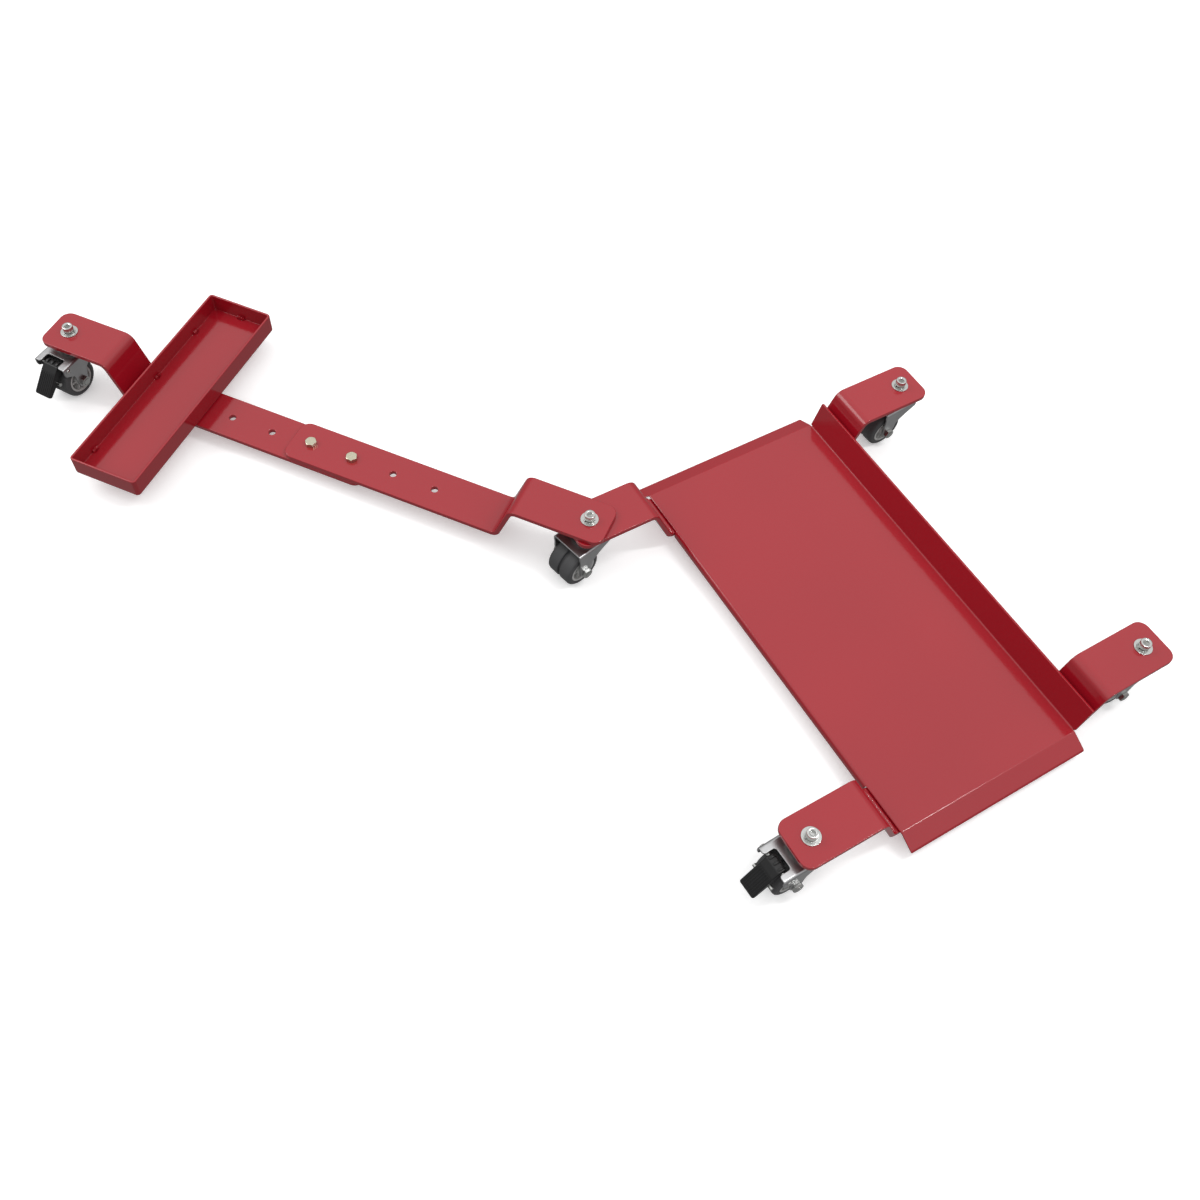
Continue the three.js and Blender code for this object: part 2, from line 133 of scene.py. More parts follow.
class Graph:
    """Writes a node tree, one call for each node."""

    def __init__(self, tree: bpy.types.NodeTree) -> None:
        """Takes the tree to write to, which starts empty."""
        self.tree = tree
        self.tree.nodes.clear()

    def node(
        self,
        kind: str,
        inputs: "dict[str | int, object] | None" = None,
        output: str | int = 0,
        **settings: object,
    ) -> Term:
        """Adds a node, with its settings first and then its inputs.

        Args:
            kind: The node's type, such as ShaderNodeMath.
            inputs: Values or terms by the input's name or number.
            output: The output to return, by name or number.
            **settings: The node's own properties, such as operation.

        Returns:
            The chosen output.
        """
        made = self.tree.nodes.new(kind)
        for name, value in settings.items():
            setattr(made, name, value)
        for name, value in (inputs or {}).items():
            if isinstance(value, Term):
                self.tree.links.new(value.socket, made.inputs[name])
            else:
                made.inputs[name].default_value = value
        return Term(self, made.outputs[output] if len(made.outputs) else None)

    def noise(self, place: Term, scale: float, detail: float = 2.0) -> Term:
        """Cloudy noise, from 0 to 1.

        Args:
            place: The coordinates it is read at, in metres.
            scale: How many clouds there are in a metre.
            detail: How many finer layers it has.

        Returns:
            The noise value.
        """
        return self.node("ShaderNodeTexNoise", {"Vector": place, "Scale": scale, "Detail": detail})

    def mix(self, factor: Term, first: object, second: object) -> Term:
        """A colour that goes from first to second as factor goes from 0 to 1."""
        inputs = {0: factor, 6: first, 7: second}
        return self.node("ShaderNodeMix", inputs, output=2, data_type="RGBA")

    def bump(self, height: Term, distance: float, strength: float = 1.0) -> Term:
        """A normal that is tilted by a height map.

        Args:
            height: The height, from 0 to 1.
            distance: The depth that 1 stands for, in metres.
            strength: How much of the tilt shows.

        Returns:
            The tilted normal.
        """
        inputs = {"Height": height, "Distance": distance, "Strength": strength}
        return self.node("ShaderNodeBump", inputs)


# ---------------------------------------------------------------- finishes
@dataclass(frozen=True)
class Finish:
    """What a surface is made of. The subclasses say what changes over it.

    Attributes:
        name: The material's name.
        slot: The record's slot that it belongs to. Nothing reads it.
        colour: Its plain colour, linear.
        roughness: Its plain roughness.
        metallic: 1 for bare metal.
        ior: Its index of refraction, which sets how much its gloss reflects.
        glow: How strongly it shines by itself, which only the studio's backdrop does.
    """

    name: str
    slot: Slot
    colour: Triple
    roughness: float
    metallic: float = 0.0
    ior: float = 1.5
    glow: float = 0.0

    def surface(self, graph: Graph, place: Term) -> dict[str, Term]:
        """The shader inputs that change over the surface.

        Args:
            graph: The material's graph.
            place: Object coordinates, in metres.

        Returns:
            Terms by the shader's input names.
        """
        raise NotImplementedError

    def tint(self, factor: float) -> tuple[float, float, float, float]:
        """The plain colour made lighter or darker."""
        red, green, blue = self.colour
        return (red * factor, green * factor, blue * factor, 1.0)

    @property
    def material(self) -> bpy.types.Material:
        """The finish's material, made the first time that it is asked for."""
        made = bpy.data.materials.get(self.name)
        if made is None:
            made = bpy.data.materials.new(self.name)
            made.use_nodes = True
            graph = Graph(made.node_tree)
            place = graph.node("ShaderNodeTexCoord", output="Object")
            inputs = {
                "Base Color": self.tint(1.0),
                "Roughness": self.roughness,
                "Metallic": self.metallic,
                "IOR": self.ior,
                "Emission Color": self.tint(1.0),
                "Emission Strength": self.glow,
            }
            inputs.update(self.surface(graph, place))
            shader = graph.node("ShaderNodeBsdfPrincipled", inputs)
            graph.node("ShaderNodeOutputMaterial", {"Surface": shader})
        return made


@dataclass(frozen=True)
class PowderCoat(Finish):
    """Sprayed powder paint, baked to a gloss with a slight orange peel.

    Attributes:
        cloud_per_metre: How many patches of lighter and darker tone, painted reflection of the
            room, there are in a metre.
        grain_per_metre: The same for the grain in the gloss.
        peel_per_metre: The same for the dimples of the peel.
        wave_per_metre: The same for the slower waves under them.
        peel_depth: How deep the peel is, in metres.
    """

    cloud_per_metre: float = 3.5
    grain_per_metre: float = 900.0
    peel_per_metre: float = 230.0
    wave_per_metre: float = 55.0
    peel_depth: float = 0.00005

    def surface(self, graph: Graph, place: Term) -> dict[str, Term]:
        """Slow changes of tone that are painted reflection of the room, fine grain in the gloss,
        and the peel. See Finish.surface.
        """
        # Painted reflection: the cloud lightens and darkens the base colour at random, standing in
        # for the room's uneven reflection on the paint.
        cloud = graph.noise(place, self.cloud_per_metre)
        grain = graph.noise(place, self.grain_per_metre, 3.0)
        dimples = graph.noise(place, self.peel_per_metre)
        peel = dimples + 0.35 * graph.noise(place, self.wave_per_metre)
        return {
            "Base Color": graph.mix(cloud, self.tint(0.85), self.tint(1.13)),
            "Roughness": self.roughness * (0.85 + 0.3 * grain),
            "Normal": graph.bump(peel, self.peel_depth),
        }


@dataclass(frozen=True)
class ZincPlate(Finish):
    """Bright zinc on turned or rolled steel, slightly mottled.

    Attributes:
        mottle_per_metre: How many lighter patches there are in a metre.
        scratch_per_metre: The same for the fine scratches.
        scratch_depth: How deep the scratches are, in metres.
    """

    mottle_per_metre: float = 420.0
    scratch_per_metre: float = 2600.0
    scratch_depth: float = 0.00003

    def surface(self, graph: Graph, place: Term) -> dict[str, Term]:
        """Mottled brightness and fine scratches. See Finish.surface."""
        mottle = graph.noise(place, self.mottle_per_metre, 3.0)
        scratch = graph.noise(place, self.scratch_per_metre, 1.0)
        return {
            "Base Color": graph.mix(mottle, self.tint(0.86), self.tint(1.1)),
            "Roughness": self.roughness + 0.16 * mottle,
            "Normal": graph.bump(scratch, self.scratch_depth, 0.6),
        }


@dataclass(frozen=True)
class PressedSteel(Finish):
    """Plated sheet from a press, with rolling marks along X.

    Attributes:
        cloud_per_metre: How many patches the plating bath leaves in a metre.
        mark_per_metre: The same for the rolling marks, across them.
        mark_stretch: How many marks there are along X for each one across.
        mark_depth: How deep the marks are, in metres.
    """

    cloud_per_metre: float = 90.0
    mark_per_metre: float = 1500.0
    mark_stretch: float = 0.12
    mark_depth: float = 0.00003

    def surface(self, graph: Graph, place: Term) -> dict[str, Term]:
        """Rolling marks, and clouds from the plating bath. See Finish.surface."""
        cloud = graph.noise(place, self.cloud_per_metre, 3.0)
        scale = (self.mark_stretch, 1.0, 1.0)
        stretched = graph.node("ShaderNodeMapping", {"Vector": place, "Scale": scale})
        rolled = graph.noise(stretched, self.mark_per_metre, 2.0)
        return {
            "Base Color": graph.mix(cloud, self.tint(0.85), self.tint(1.12)),
            "Roughness": self.roughness + 0.14 * rolled,
            "Normal": graph.bump(rolled, self.mark_depth, 0.5),
        }


@dataclass(frozen=True)
class Moulded(Finish):
    """Moulded rubber or plastic with a fine spark-eroded grain.

    Attributes:
        grain_per_metre: How many grains there are in a metre.
        grain_depth: How deep the grain is, in metres.
        cloud_per_metre: How many patches of dust there are in a metre.
        dust: How much lighter and rougher the dust is.
    """

    grain_per_metre: float = 1100.0
    grain_depth: float = 0.00008
    cloud_per_metre: float = 70.0
    dust: float = 0.1

    def surface(self, graph: Graph, place: Term) -> dict[str, Term]:
        """Grain in the height and the gloss, and a little dust. See Finish.surface."""
        grain = graph.noise(place, self.grain_per_metre, 3.0)
        cloud = graph.noise(place, self.cloud_per_metre, 3.0).rise(0.45, 0.75)
        return {
            "Base Color": graph.mix(cloud, self.tint(1.0), self.tint(1.0 + self.dust)),
            "Roughness": self.roughness + 0.15 * grain + self.dust * cloud,
            "Normal": graph.bump(grain, self.grain_depth, 0.6),
        }


RED_PAINT = PowderCoat("red_powder_coat", Slot.RED_PAINT, (0.325, 0.006, 0.014), 0.13, ior=1.6)
ZINC = ZincPlate("bright_zinc", Slot.ZINC, (0.52, 0.525, 0.51), 0.12, metallic=1.0)
FORK_STEEL = PressedSteel(
    "pressed_fork_steel", Slot.PRESSED_STEEL, (0.45, 0.45, 0.455), 0.26, metallic=1.0
)
TYRE_RUBBER = Moulded("tyre_rubber", Slot.WHEEL_RUBBER, (0.06, 0.06, 0.062), 0.45)
HUB_NYLON = Moulded(
    "hub_nylon", Slot.GREY_NYLON, (0.5, 0.5, 0.49), 0.38, grain_depth=0.00003, dust=0.05
)
PEDAL_PLASTIC = Moulded(
    "pedal_plastic", Slot.BLACK_PLASTIC, (0.006, 0.006, 0.0065), 0.3, ior=1.45
)
YELLOW_ZINC = ZincPlate("passivated_zinc", Slot.ZINC, (0.55, 0.52, 0.40), 0.18, metallic=1.0)
BACKDROP = Moulded(
    "studio_backdrop",
    Slot.GREY_NYLON,
    (0.9, 0.9, 0.9),
    0.8,
    glow=0.34,
    grain_depth=0.00001,
    dust=0.0,
)


# ---------------------------------------------------------------- outlines and solids
def turn_between(entry: Vector, leaving: Vector) -> float:
    """The signed angle from one heading to the next, counter-clockwise positive."""
    return math.atan2(entry.cross(leaving), entry.dot(leaving))


def inset(loop: Sequence[Pair], distance: float) -> list[Pair]:
    """A loop moved to its left, which is inwards if it is counter-clockwise.

    Args:
        loop: The closed loop's points.
        distance: How far each side moves.

    Returns:
        The moved loop, with the same number of points.
    """
    points = [Vector(point) for point in loop]
    made = []
    for index, point in enumerate(points):
        entry = (point - points[index - 1]).normalized()
        leaving = (points[(index + 1) % len(points)] - point).normalized()
        sides = Vector((-entry.y - leaving.y, entry.x + leaving.x))
        shared = max(MITRE_FLOOR, 1.0 + entry.dot(leaving))
        made.append(tuple(point + sides * (distance / shared)))
    return made


def edge_steps(radius: float, steps: int = 3) -> list[Pair]:
    """How a rounded edge goes from a flat face to the side.

    Args:
        radius: The edge's radius.
        steps: How many flats it is made of.

    Returns:
        (distance from the side, depth below the face) at each step.
    """
    angles = [math.pi / 2 * step / steps for step in range(steps + 1)]
    return [(radius * (1 - math.sin(a)), radius * (1 - math.cos(a))) for a in angles]


def softened(
    corners: Sequence[Pair], radius: float, steps: int = 4, closed: bool = True
) -> list[Pair]:
    """Rounds the corners of an outline.

    Args:
        corners: The outline's corners in order.
        radius: The radius wanted, made smaller where the sides are short.
        steps: How many sides each arc gets.
        closed: Whether the last corner joins the first. An open line keeps its two ends.

    Returns:
        The rounded outline.
    """
    points = [Vector(corner) for corner in corners]
    count = len(points)
    made: list[Pair] = []
    for index, corner in enumerate(points):
        if not closed and index in (0, count - 1):
            made.append(tuple(corner))
            continue
        before = points[index - 1]
        after = points[(index + 1) % count]
        entry = (corner - before).normalized()
        leaving = (after - corner).normalized()
        turn = turn_between(entry, leaving)
        room = SIDE_SHARE * min((corner - before).length, (after - corner).length)
        reach = min(radius * math.tan(abs(turn) / 2), room)
        if reach < 1e-3:
            made.append(tuple(corner))
            continue
        size = reach / math.tan(abs(turn) / 2)
        side = Vector((-entry.y, entry.x)) * math.copysign(1.0, turn)
        centre = corner - entry * reach + side * size
        for step in range(steps + 1):
            angle = turn * step / steps
            spoke = Matrix.Rotation(angle, 2) @ (side * -size)
            made.append(tuple(centre + spoke))
    return made


def ring(centre: Pair, radius: float, count: int) -> list[Pair]:
    """A circle's points, counter-clockwise."""
    angles = (math.tau * index / count for index in range(count))
    return [(centre[0] + radius * math.cos(a), centre[1] + radius * math.sin(a)) for a in angles]


def rectangle(left: float, bottom: float, right: float, top: float) -> list[Pair]:
    """A rectangle's corners, counter-clockwise."""
    return [(left, bottom), (right, bottom), (right, top), (left, top)]


@dataclass
class Solid:
    """A closed body as points and faces.

    Attributes:
        points: Corners, in millimetres.
        faces: Corner numbers of each face.
    """

    points: list[Vector] = field(default_factory=list)
    faces: list[tuple[int, ...]] = field(default_factory=list)

    def moved(self, place: Matrix) -> "Solid":
        """This body, turned and moved."""
        return Solid([place @ point for point in self.points], list(self.faces))

    def mesh(self, name: str) -> bpy.types.Mesh:
        """The body as a Blender mesh in metres, with its doubles merged and its faces outwards.

        Args:
            name: The mesh's name.

        Returns:
            The mesh.
        """
        made = bpy.data.meshes.new(name)
        made.from_pydata([point * MM for point in self.points], [], self.faces)
        work = bmesh.new()
        work.from_mesh(made)
        bmesh.ops.remove_doubles(work, verts=work.verts, dist=1e-6)
        bmesh.ops.recalc_face_normals(work, faces=work.faces)
        work.to_mesh(made)
        work.free()
        return made


def polar(radius: float, angle: float, height: float) -> Vector:
    """The point at a radius and an angle about Z, at a height."""
    return Vector((radius * math.cos(angle), radius * math.sin(angle), height))


def skinned(points: list[Vector], count: int, looped: bool) -> Solid:
    """The skin between rings of points, without end caps.

    Args:
        points: The points of all rings, ring after ring.
        count: How many points each ring has.
        looped: Whether the last ring joins the first.

    Returns:
        The skin.
    """
    made = Solid(points)
    rings = len(points) // count
    for level in range(rings if looped else rings - 1):
        low = level * count
        high = (level + 1) % rings * count
        for index in range(count):
            after = (index + 1) % count
            made.faces.append((low + index, low + after, high + after, high + index))
    return made


def lofted(rings: Sequence[Sequence[Vector]], capped: bool = True) -> Solid:
    """A skin over rings that all have the same number of points.

    Args:
        rings: The rings in order.
        capped: Whether the two ends are closed. If not, the last ring joins the first.

    Returns:
        The closed body.
    """
    count = len(rings[0])
    made = skinned([point.copy() for one in rings for point in one], count, not capped)
    if capped:
        last = (len(rings) - 1) * count
        made.faces.append(tuple(reversed(range(count))))
        made.faces.append(tuple(range(last, last + count)))
    return made


def turned(profile: Sequence[Pair], segments: int = 48, closed: bool = False) -> Solid:
    """A body of revolution about +Z.

    Args:
        profile: (radius, height) points. An open profile starts and ends on the axis.
        segments: How many sides the turn has.
        closed: Whether the profile is a loop that stays clear of the axis.

    Returns:
        The closed body.
    """
    angles = [math.tau * index / segments for index in range(segments)]
    points = [polar(radius, angle, height) for radius, height in profile for angle in angles]
    return skinned(points, segments, closed)


def swept(start: Pair, pull: Pair, end: Pair, steps: int) -> list[Pair]:
    """A smooth curve that leaves its start, and reaches its end, in line with a third point.

    Args:
        start: The first point.
        pull: The third point, which the curve bends towards.
        end: The last point.
        steps: How many sides the curve has.

    Returns:
        The curve's points.
    """
    made = []
    for step in range(steps + 1):
        share = step / steps
        keep = 1 - share
        x = keep * keep * start[0] + 2 * keep * share * pull[0] + share * share * end[0]
        y = keep * keep * start[1] + 2 * keep * share * pull[1] + share * share * end[1]
        made.append((x, y))
    return made


# ---------------------------------------------------------------- folded sheet
@dataclass
class FoldLine:
    """The middle line of a folded strip, as straight runs joined by arcs.

    Attributes:
        corners: Where the straight runs would meet.
        radius: The radius of every arc.
        runs: Each run's (start length, length, start point, heading, turn), worked out here.
    """

    corners: Sequence[Pair]
    radius: float
    runs: list[tuple[float, float, Vector, Vector, float]] = field(default_factory=list)

    def __post_init__(self) -> None:
        """Works out the runs."""
        points = [Vector(corner) for corner in self.corners]
        start = points[0]
        for before, corner, after in zip(points, points[1:], points[2:]):
            entry = (corner - before).normalized()
            leaving = (after - corner).normalized()
            turn = turn_between(entry, leaving)
            reach = self.radius * math.tan(abs(turn) / 2)
            bend = corner - entry * reach
            self._add((bend - start).length, start, entry, 0.0)
            self._add(self.radius * abs(turn), bend, entry, turn)
            start = corner + leaving * reach
        self._add((points[-1] - start).length, start, (points[-1] - start).normalized(), 0.0)

    def _add(self, length: float, start: Vector, heading: Vector, turn: float) -> None:
        """Adds a run after the last one."""
        self.runs.append((self.length, length, start, heading, turn))

    @property
    def length(self) -> float:
        """The whole line's length, which is the flat length of the strip."""
        return self.runs[-1][0] + self.runs[-1][1] if self.runs else 0.0

    def at(self, distance: float, offset: float = 0.0) -> Vector:
        """The point at a distance along the line, moved to its left.

        Args:
            distance: How far along, from the start.
            offset: How far to the left of the line.

        Returns:
            The point.
        """
        run = next((one for one in self.runs if distance <= one[0] + one[1]), self.runs[-1])
        begin, length, start, heading, turn = run
        left = Vector((-heading.y, heading.x))
        if turn == 0.0:
            return start + heading * (distance - begin) + left * offset
        side = left * math.copysign(self.radius, turn)
        spin = Matrix.Rotation(turn * (distance - begin) / length, 2)
        return start + side + spin @ (left * offset - side)

    def cuts(self, steps: int) -> list[float]:
        """The distances at which each bend is cut into steps."""
        bends = [run for run in self.runs if run[4] != 0.0]
        return [b[0] + b[1] * step / steps for b in bends for step in range(steps + 1)]

    def distance_of(self, x: float) -> float:
        """The distance at which a straight run passes an x."""
        for begin, length, start, heading, turn in self.runs:
            if turn == 0.0 and heading.x != 0.0:
                gone = (x - start.x) / heading.x
                if -1e-6 <= gone <= length + 1e-6:
                    return begin + gone
        raise ValueError(f"no straight run passes x = {x}")


@dataclass
class Blank:
    """A flat sheet that is cut out first and then folded.

    Attributes:
        outline: Its outline, counter-clockwise, in flat (a, b).
        holes: The outlines of its holes.
        thickness: The sheet's thickness.
        fold: Gives the folded place of flat (a, b) at a height above the sheet's middle.
        cuts_a: Where it is cut across a, so that it can bend there.
        cuts_b: The same for b.
        edge: The radius of its rounded edges.
    """

    outline: Sequence[Pair]
    holes: Sequence[Sequence[Pair]]
    thickness: float
    fold: Callable[[float, float, float], Vector]
    cuts_a: Sequence[float] = ()
    cuts_b: Sequence[float] = ()
    edge: float = 0.5

    def _flat(self) -> tuple[list[Pair], list[tuple[int, ...]]]:
        """The flat sheet inside its rounded edges, with every cut made.

        Returns:
            Its points, and the point numbers of its faces.
        """
        work = bmesh.new()
        loops = [inset(self.outline, self.edge)]
        loops += [inset(hole, -self.edge) for hole in self.holes]
        for loop in loops:
            corners = [work.verts.new((a, b, 0.0)) for a, b in loop]
            for first, second in zip(corners, corners[1:] + corners[:1]):
                work.edges.new((first, second))
        bmesh.ops.triangle_fill(work, use_beauty=True, edges=work.edges, normal=(0, 0, 1))
        planes = [((cut, 0, 0), (1, 0, 0)) for cut in self.cuts_a]
        planes += [((0, cut, 0), (0, 1, 0)) for cut in self.cuts_b]
        for point, normal in planes:
            whole = [*work.verts, *work.edges, *work.faces]
            bmesh.ops.bisect_plane(work, geom=whole, dist=1e-4, plane_co=point, plane_no=normal)
        work.normal_update()
        work.verts.index_update()
        flat = [(corner.co.x, corner.co.y) for corner in work.verts]
        faces = []
        for face in work.faces:
            order = tuple(corner.index for corner in face.verts)
            faces.append(order if face.normal.z > 0 else order[::-1])
        work.free()
        return flat, faces

    @staticmethod
    def _outward(flat: Sequence[Pair], rim: Sequence[tuple[int, int]]) -> dict[int, Vector]:
        """How each rim point moves for each millimetre that the rim moves outwards.

        Args:
            flat: The flat sheet's points.
            rim: The point numbers of each side of the rim.

        Returns:
            The move of each rim point, by its number.
        """
        after = dict(rim)
        before = {second: first for first, second in after.items()}
        moves = {}
        for index in after:
            here = Vector(flat[index])
            entry = (here - Vector(flat[before[index]])).normalized()
            leaving = (Vector(flat[after[index]]) - here).normalized()
            sides = Vector((entry.y + leaving.y, -entry.x - leaving.x))
            moves[index] = sides / max(MITRE_FLOOR, 1.0 + entry.dot(leaving))
        return moves

    def solid(self) -> Solid:
        """The folded sheet with its thickness and its rounded edges.

        Returns:
            The closed body.
        """
        flat, faces = self._flat()
        half = self.thickness / 2
        count = len(flat)
        made = Solid([self.fold(a, b, half) for a, b in flat])
        made.points += [self.fold(a, b, -half) for a, b in flat]
        made.faces = list(faces) + [tuple(corner + count for corner in f[::-1]) for f in faces]
        sides = {(f[i - 1], f[i]) for f in faces for i in range(len(f))}
        rim = [(first, second) for first, second in sides if (second, first) not in sides]
        moves = self._outward(flat, rim)
        steps = edge_steps(self.edge)[1:]
        levels = [(self.edge - away, half - depth) for away, depth in steps]
        levels += [(out, -height) for out, height in reversed(levels)]
        rows = [{index: index for index in moves}]
        for out, height in levels:
            row = {}
            for index, move in moves.items():
                a, b = flat[index]
                row[index] = len(made.points)
                made.points.append(self.fold(a + move.x * out, b + move.y * out, height))
            rows.append(row)
        rows.append({index: index + count for index in moves})
        for upper, lower in zip(rows, rows[1:]):
            made.faces += [(lower[i], lower[j], upper[j], upper[i]) for i, j in rim]
        return made


def softened_slab(outline: Sequence[Pair], bottom: float, top: float, radius: float) -> Solid:
    """An outline in (x, y) pushed up along Z, with its top and bottom edges rounded.

    Args:
        outline: The outline, counter-clockwise.
        bottom: The height of its lower face.
        top: The height of its upper face.
        radius: The radius of its edges.

    Returns:
        The closed body.
    """
    steps = edge_steps(radius)
    levels = [(bottom + depth, away) for away, depth in steps]
    levels += [(top - depth, away) for away, depth in reversed(steps)]
    rings = []
    for height, away in levels:
        rings.append([Vector((x, y, height)) for x, y in inset(outline, away)])
    return lofted(rings)


def threaded(radius: float, start: float, end: float, pitch: float = 1.25) -> list[Pair]:
    """The side of a threaded rod's end, from its tip to the start of the plain shank.

    Args:
        radius: The rod's radius.
        start: The tip's height.
        end: Where the thread stops, above the tip.
        pitch: The thread's pitch.

    Returns:
        (radius, height) points going up.
    """
    root = radius - 0.6 * pitch
    crest = pitch / 8
    made = [(root, start)]
    height = start + pitch / 2
    while height < end:
        made.append((radius, height - crest))
        made.append((radius, height + crest))
        made.append((root, height + pitch / 2))
        height += pitch
    return [*made, (radius, height - pitch / 4)]


def screw(head: Sequence[Sequence[Vector]], radius: float, length: float, threads: float) -> Solid:
    """A bolt with its head's seat at z = 0 and its shank below.

    Args:
        head: The head's rings, from the seat up.
        radius: The shank's radius.
        length: The shank's length.
        threads: How much of it is threaded.

    Returns:
        The closed body.
    """
    angles = [math.atan2(point.y, point.x) for point in head[0]]
    rings = []
    for reach, height in [*threaded(radius, -length, -length + threads), (radius, 0.0)]:
        rings.append([polar(reach, angle, height) for angle in angles])
    return lofted([*rings, *head])


def hexagon_rings(across: float, height: float, bore: float = 0.0) -> list[list[Vector]]:
    """The rings of a hexagon head or nut that stands on z = 0, with its top corners turned off.

    Args:
        across: The size across flats.
        height: Its height.
        bore: The radius of a nut's hole, or 0 for a bolt's head.

    Returns:
        The rings, from the bottom up, and then down the bore.
    """
    per_side = 6
    face_radius = 0.95 * across / 2
    slope = math.tan(math.radians(30))
    countersink = 0.5
    countersink_end = 0.9
    corners = ring((0, 0), across / math.sqrt(3), 6)
    outline: list[Vector] = []
    for first, second in zip(corners, corners[1:] + corners[:1]):
        start = Vector((*first, 0.0))
        end = Vector((*second, 0.0))
        outline += [start.lerp(end, step / per_side) for step in range(per_side)]
    rise = Vector((0, 0, height))
    shoulder = []
    for point in outline:
        drop = max(0.0, point.length - face_radius) * slope
        shoulder.append(point + rise - Vector((0, 0, drop)))
    rings = [outline, shoulder, [point.normalized() * face_radius + rise for point in outline]]
    if bore > 0.0:
        spokes = [point.normalized() for point in outline]
        rings.append([spoke * (bore + countersink) + rise for spoke in spokes])
        rings.append([spoke * bore + rise * countersink_end for spoke in spokes])
        rings.append([spoke * bore for spoke in spokes])
    return rings


def hexagon_bolt(
    across: float, height: float, radius: float, length: float, threads: float
) -> Solid:
    """A hexagon bolt with its seat at z = 0, its head above and its shank below."""
    return screw(hexagon_rings(across, height), radius, length, threads)


def hexagon_nut(across: float, height: float, bore: float) -> Solid:
    """A hexagon nut standing on z = 0."""
    return lofted(hexagon_rings(across, height, bore), capped=False)


def socket_bolt(
    head_radius: float, height: float, socket: float, radius: float, length: float
) -> Solid:
    """A socket-head bolt with a knurled head, its seat at z = 0.

    Args:
        head_radius: The head's radius.
        height: The head's height.
        socket: The socket's size across flats.
        radius: The shank's radius.
        length: The shank's length.

    Returns:
        The closed body.
    """
    knurls = 40
    sides = 4 * knurls
    knurl_depth = 0.3
    knurl_start = 0.9
    threads = 8.0
    soft = 0.4
    bevel = 0.7
    lip = socket / 2 * 1.2
    sixth = math.pi / 3
    angles = [math.tau * index / sides for index in range(sides)]

    def circle(size: float, level: float, depth: float = 0.0) -> list[Vector]:
        """A ring at a height, with knurls of some depth."""
        dips = [depth * (0.5 - 0.5 * math.cos(angle * knurls)) for angle in angles]
        return [polar(size - dip, angle, level) for angle, dip in zip(angles, dips)]

    def hexagon(level: float) -> list[Vector]:
        """A ring at a height that follows the socket's six flats."""
        off = [(angle + sixth / 2) % sixth - sixth / 2 for angle in angles]
        return [polar(socket / 2 / math.cos(o), angle, level) for angle, o in zip(angles, off)]

    head = [
        circle(head_radius - soft, 0.0),
        circle(head_radius, soft),
        circle(head_radius, knurl_start, knurl_depth),
        circle(head_radius, height - bevel - knurl_start, knurl_depth),
        circle(head_radius, height - bevel - soft),
        circle(head_radius - 0.25 * bevel, height - 0.35 * bevel),
        circle(head_radius - bevel, height),
        circle(lip + soft, height),
        circle(lip, height - 0.3),
        hexagon(height - 0.45),
        hexagon(height / 2),
    ]
    return screw(head, radius, length, threads)


def steel_ring(inner: float, outer: float, bottom: float, top: float, radius: float) -> Solid:
    """A flat ring with rounded edges.

    Args:
        inner: The radius of its hole.
        outer: Its outer radius.
        bottom: The height of its lower face.
        top: The height of its upper face.
        radius: The radius of its edges.

    Returns:
        The closed body.
    """
    steps = edge_steps(radius, 2)
    outline = [(outer - away, bottom + depth) for away, depth in steps]
    outline += [(outer - away, top - depth) for away, depth in reversed(steps)]
    outline += [(inner + away, top - depth) for away, depth in steps]
    outline += [(inner + away, bottom + depth) for away, depth in reversed(steps)]
    return turned(outline, 64, closed=True)


def split_ring(inner: float, outer: float, bottom: float, top: float) -> Solid:
    """A spring washer: a square wire wound once, with its ends a little apart and out of line.

    Args:
        inner: The radius of its hole.
        outer: Its outer radius.
        bottom: Its lowest height.
        top: Its highest.

    Returns:
        The closed body.
    """
    steps = 72
    gap = math.radians(9)
    rise = 0.3 * (top - bottom)
    bevel = 0.15
    section = softened(rectangle(inner, 0.0, outer, top - bottom - rise), bevel, 2)
    rings = []
    for step in range(steps + 1):
        angle = gap / 2 + (math.tau - gap) * step / steps
        lift = bottom + rise * step / steps
        rings.append([polar(radius, angle, height + lift) for radius, height in section])
    return lofted(rings)


# ---------------------------------------------------------------- geometry nodes
class ShapeTree:
    """A geometry node group with named inputs, and the value that each input gets."""

    def __init__(
        self, name: str, inputs: dict[str, tuple[str, object]], shaped: bool = False
    ) -> None:
        """Makes the group and its inputs.

        Args:
            name: The group's name.
            inputs: The socket type and the value of each input, by its name.
            shaped: Whether the group also takes a shape to work on.
        """
        self.group = bpy.data.node_groups.new(name, "GeometryNodeTree")
        self.graph = Graph(self.group)
        if shaped:
            self._socket("Shape", "Geometry")
        self.values = {self._socket(key, kind): value for key, (kind, value) in inputs.items()}
        self._socket("Result", "Geometry", "OUTPUT")

    def _socket(self, name: str, kind: str, direction: str = "INPUT") -> str:
        """Adds a socket to the group and gives its identifier."""
        kind = f"NodeSocket{kind}"
        made = self.group.interface.new_socket(name=name, in_out=direction, socket_type=kind)
        return made.identifier

    def input(self, name: str) -> Term:
        """One of the group's inputs, by its name."""
        return self.graph.node("NodeGroupInput", output=name)

    def close(self, geometry: Term, material: bpy.types.Material) -> None:
        """Ends the group.

        Args:
            geometry: What it has made.
            material: The material that it gets.
        """
        whole = self.graph.node("GeometryNodeRealizeInstances", {"Geometry": geometry})
        inputs = {"Geometry": whole, "Material": material}
        painted = self.graph.node("GeometryNodeSetMaterial", inputs)
        self.graph.node("NodeGroupOutput", {"Result": painted})

    def dress(self, holder: bpy.types.Object) -> None:
        """Puts the group on an object, with its inputs set.

        Args:
            holder: The object, whose mesh is the shape that the group works on.
        """
        modifier = holder.modifiers.new("shape", "NODES")
        modifier.node_group = self.group
        for identifier, value in self.values.items():
            modifier[identifier] = value


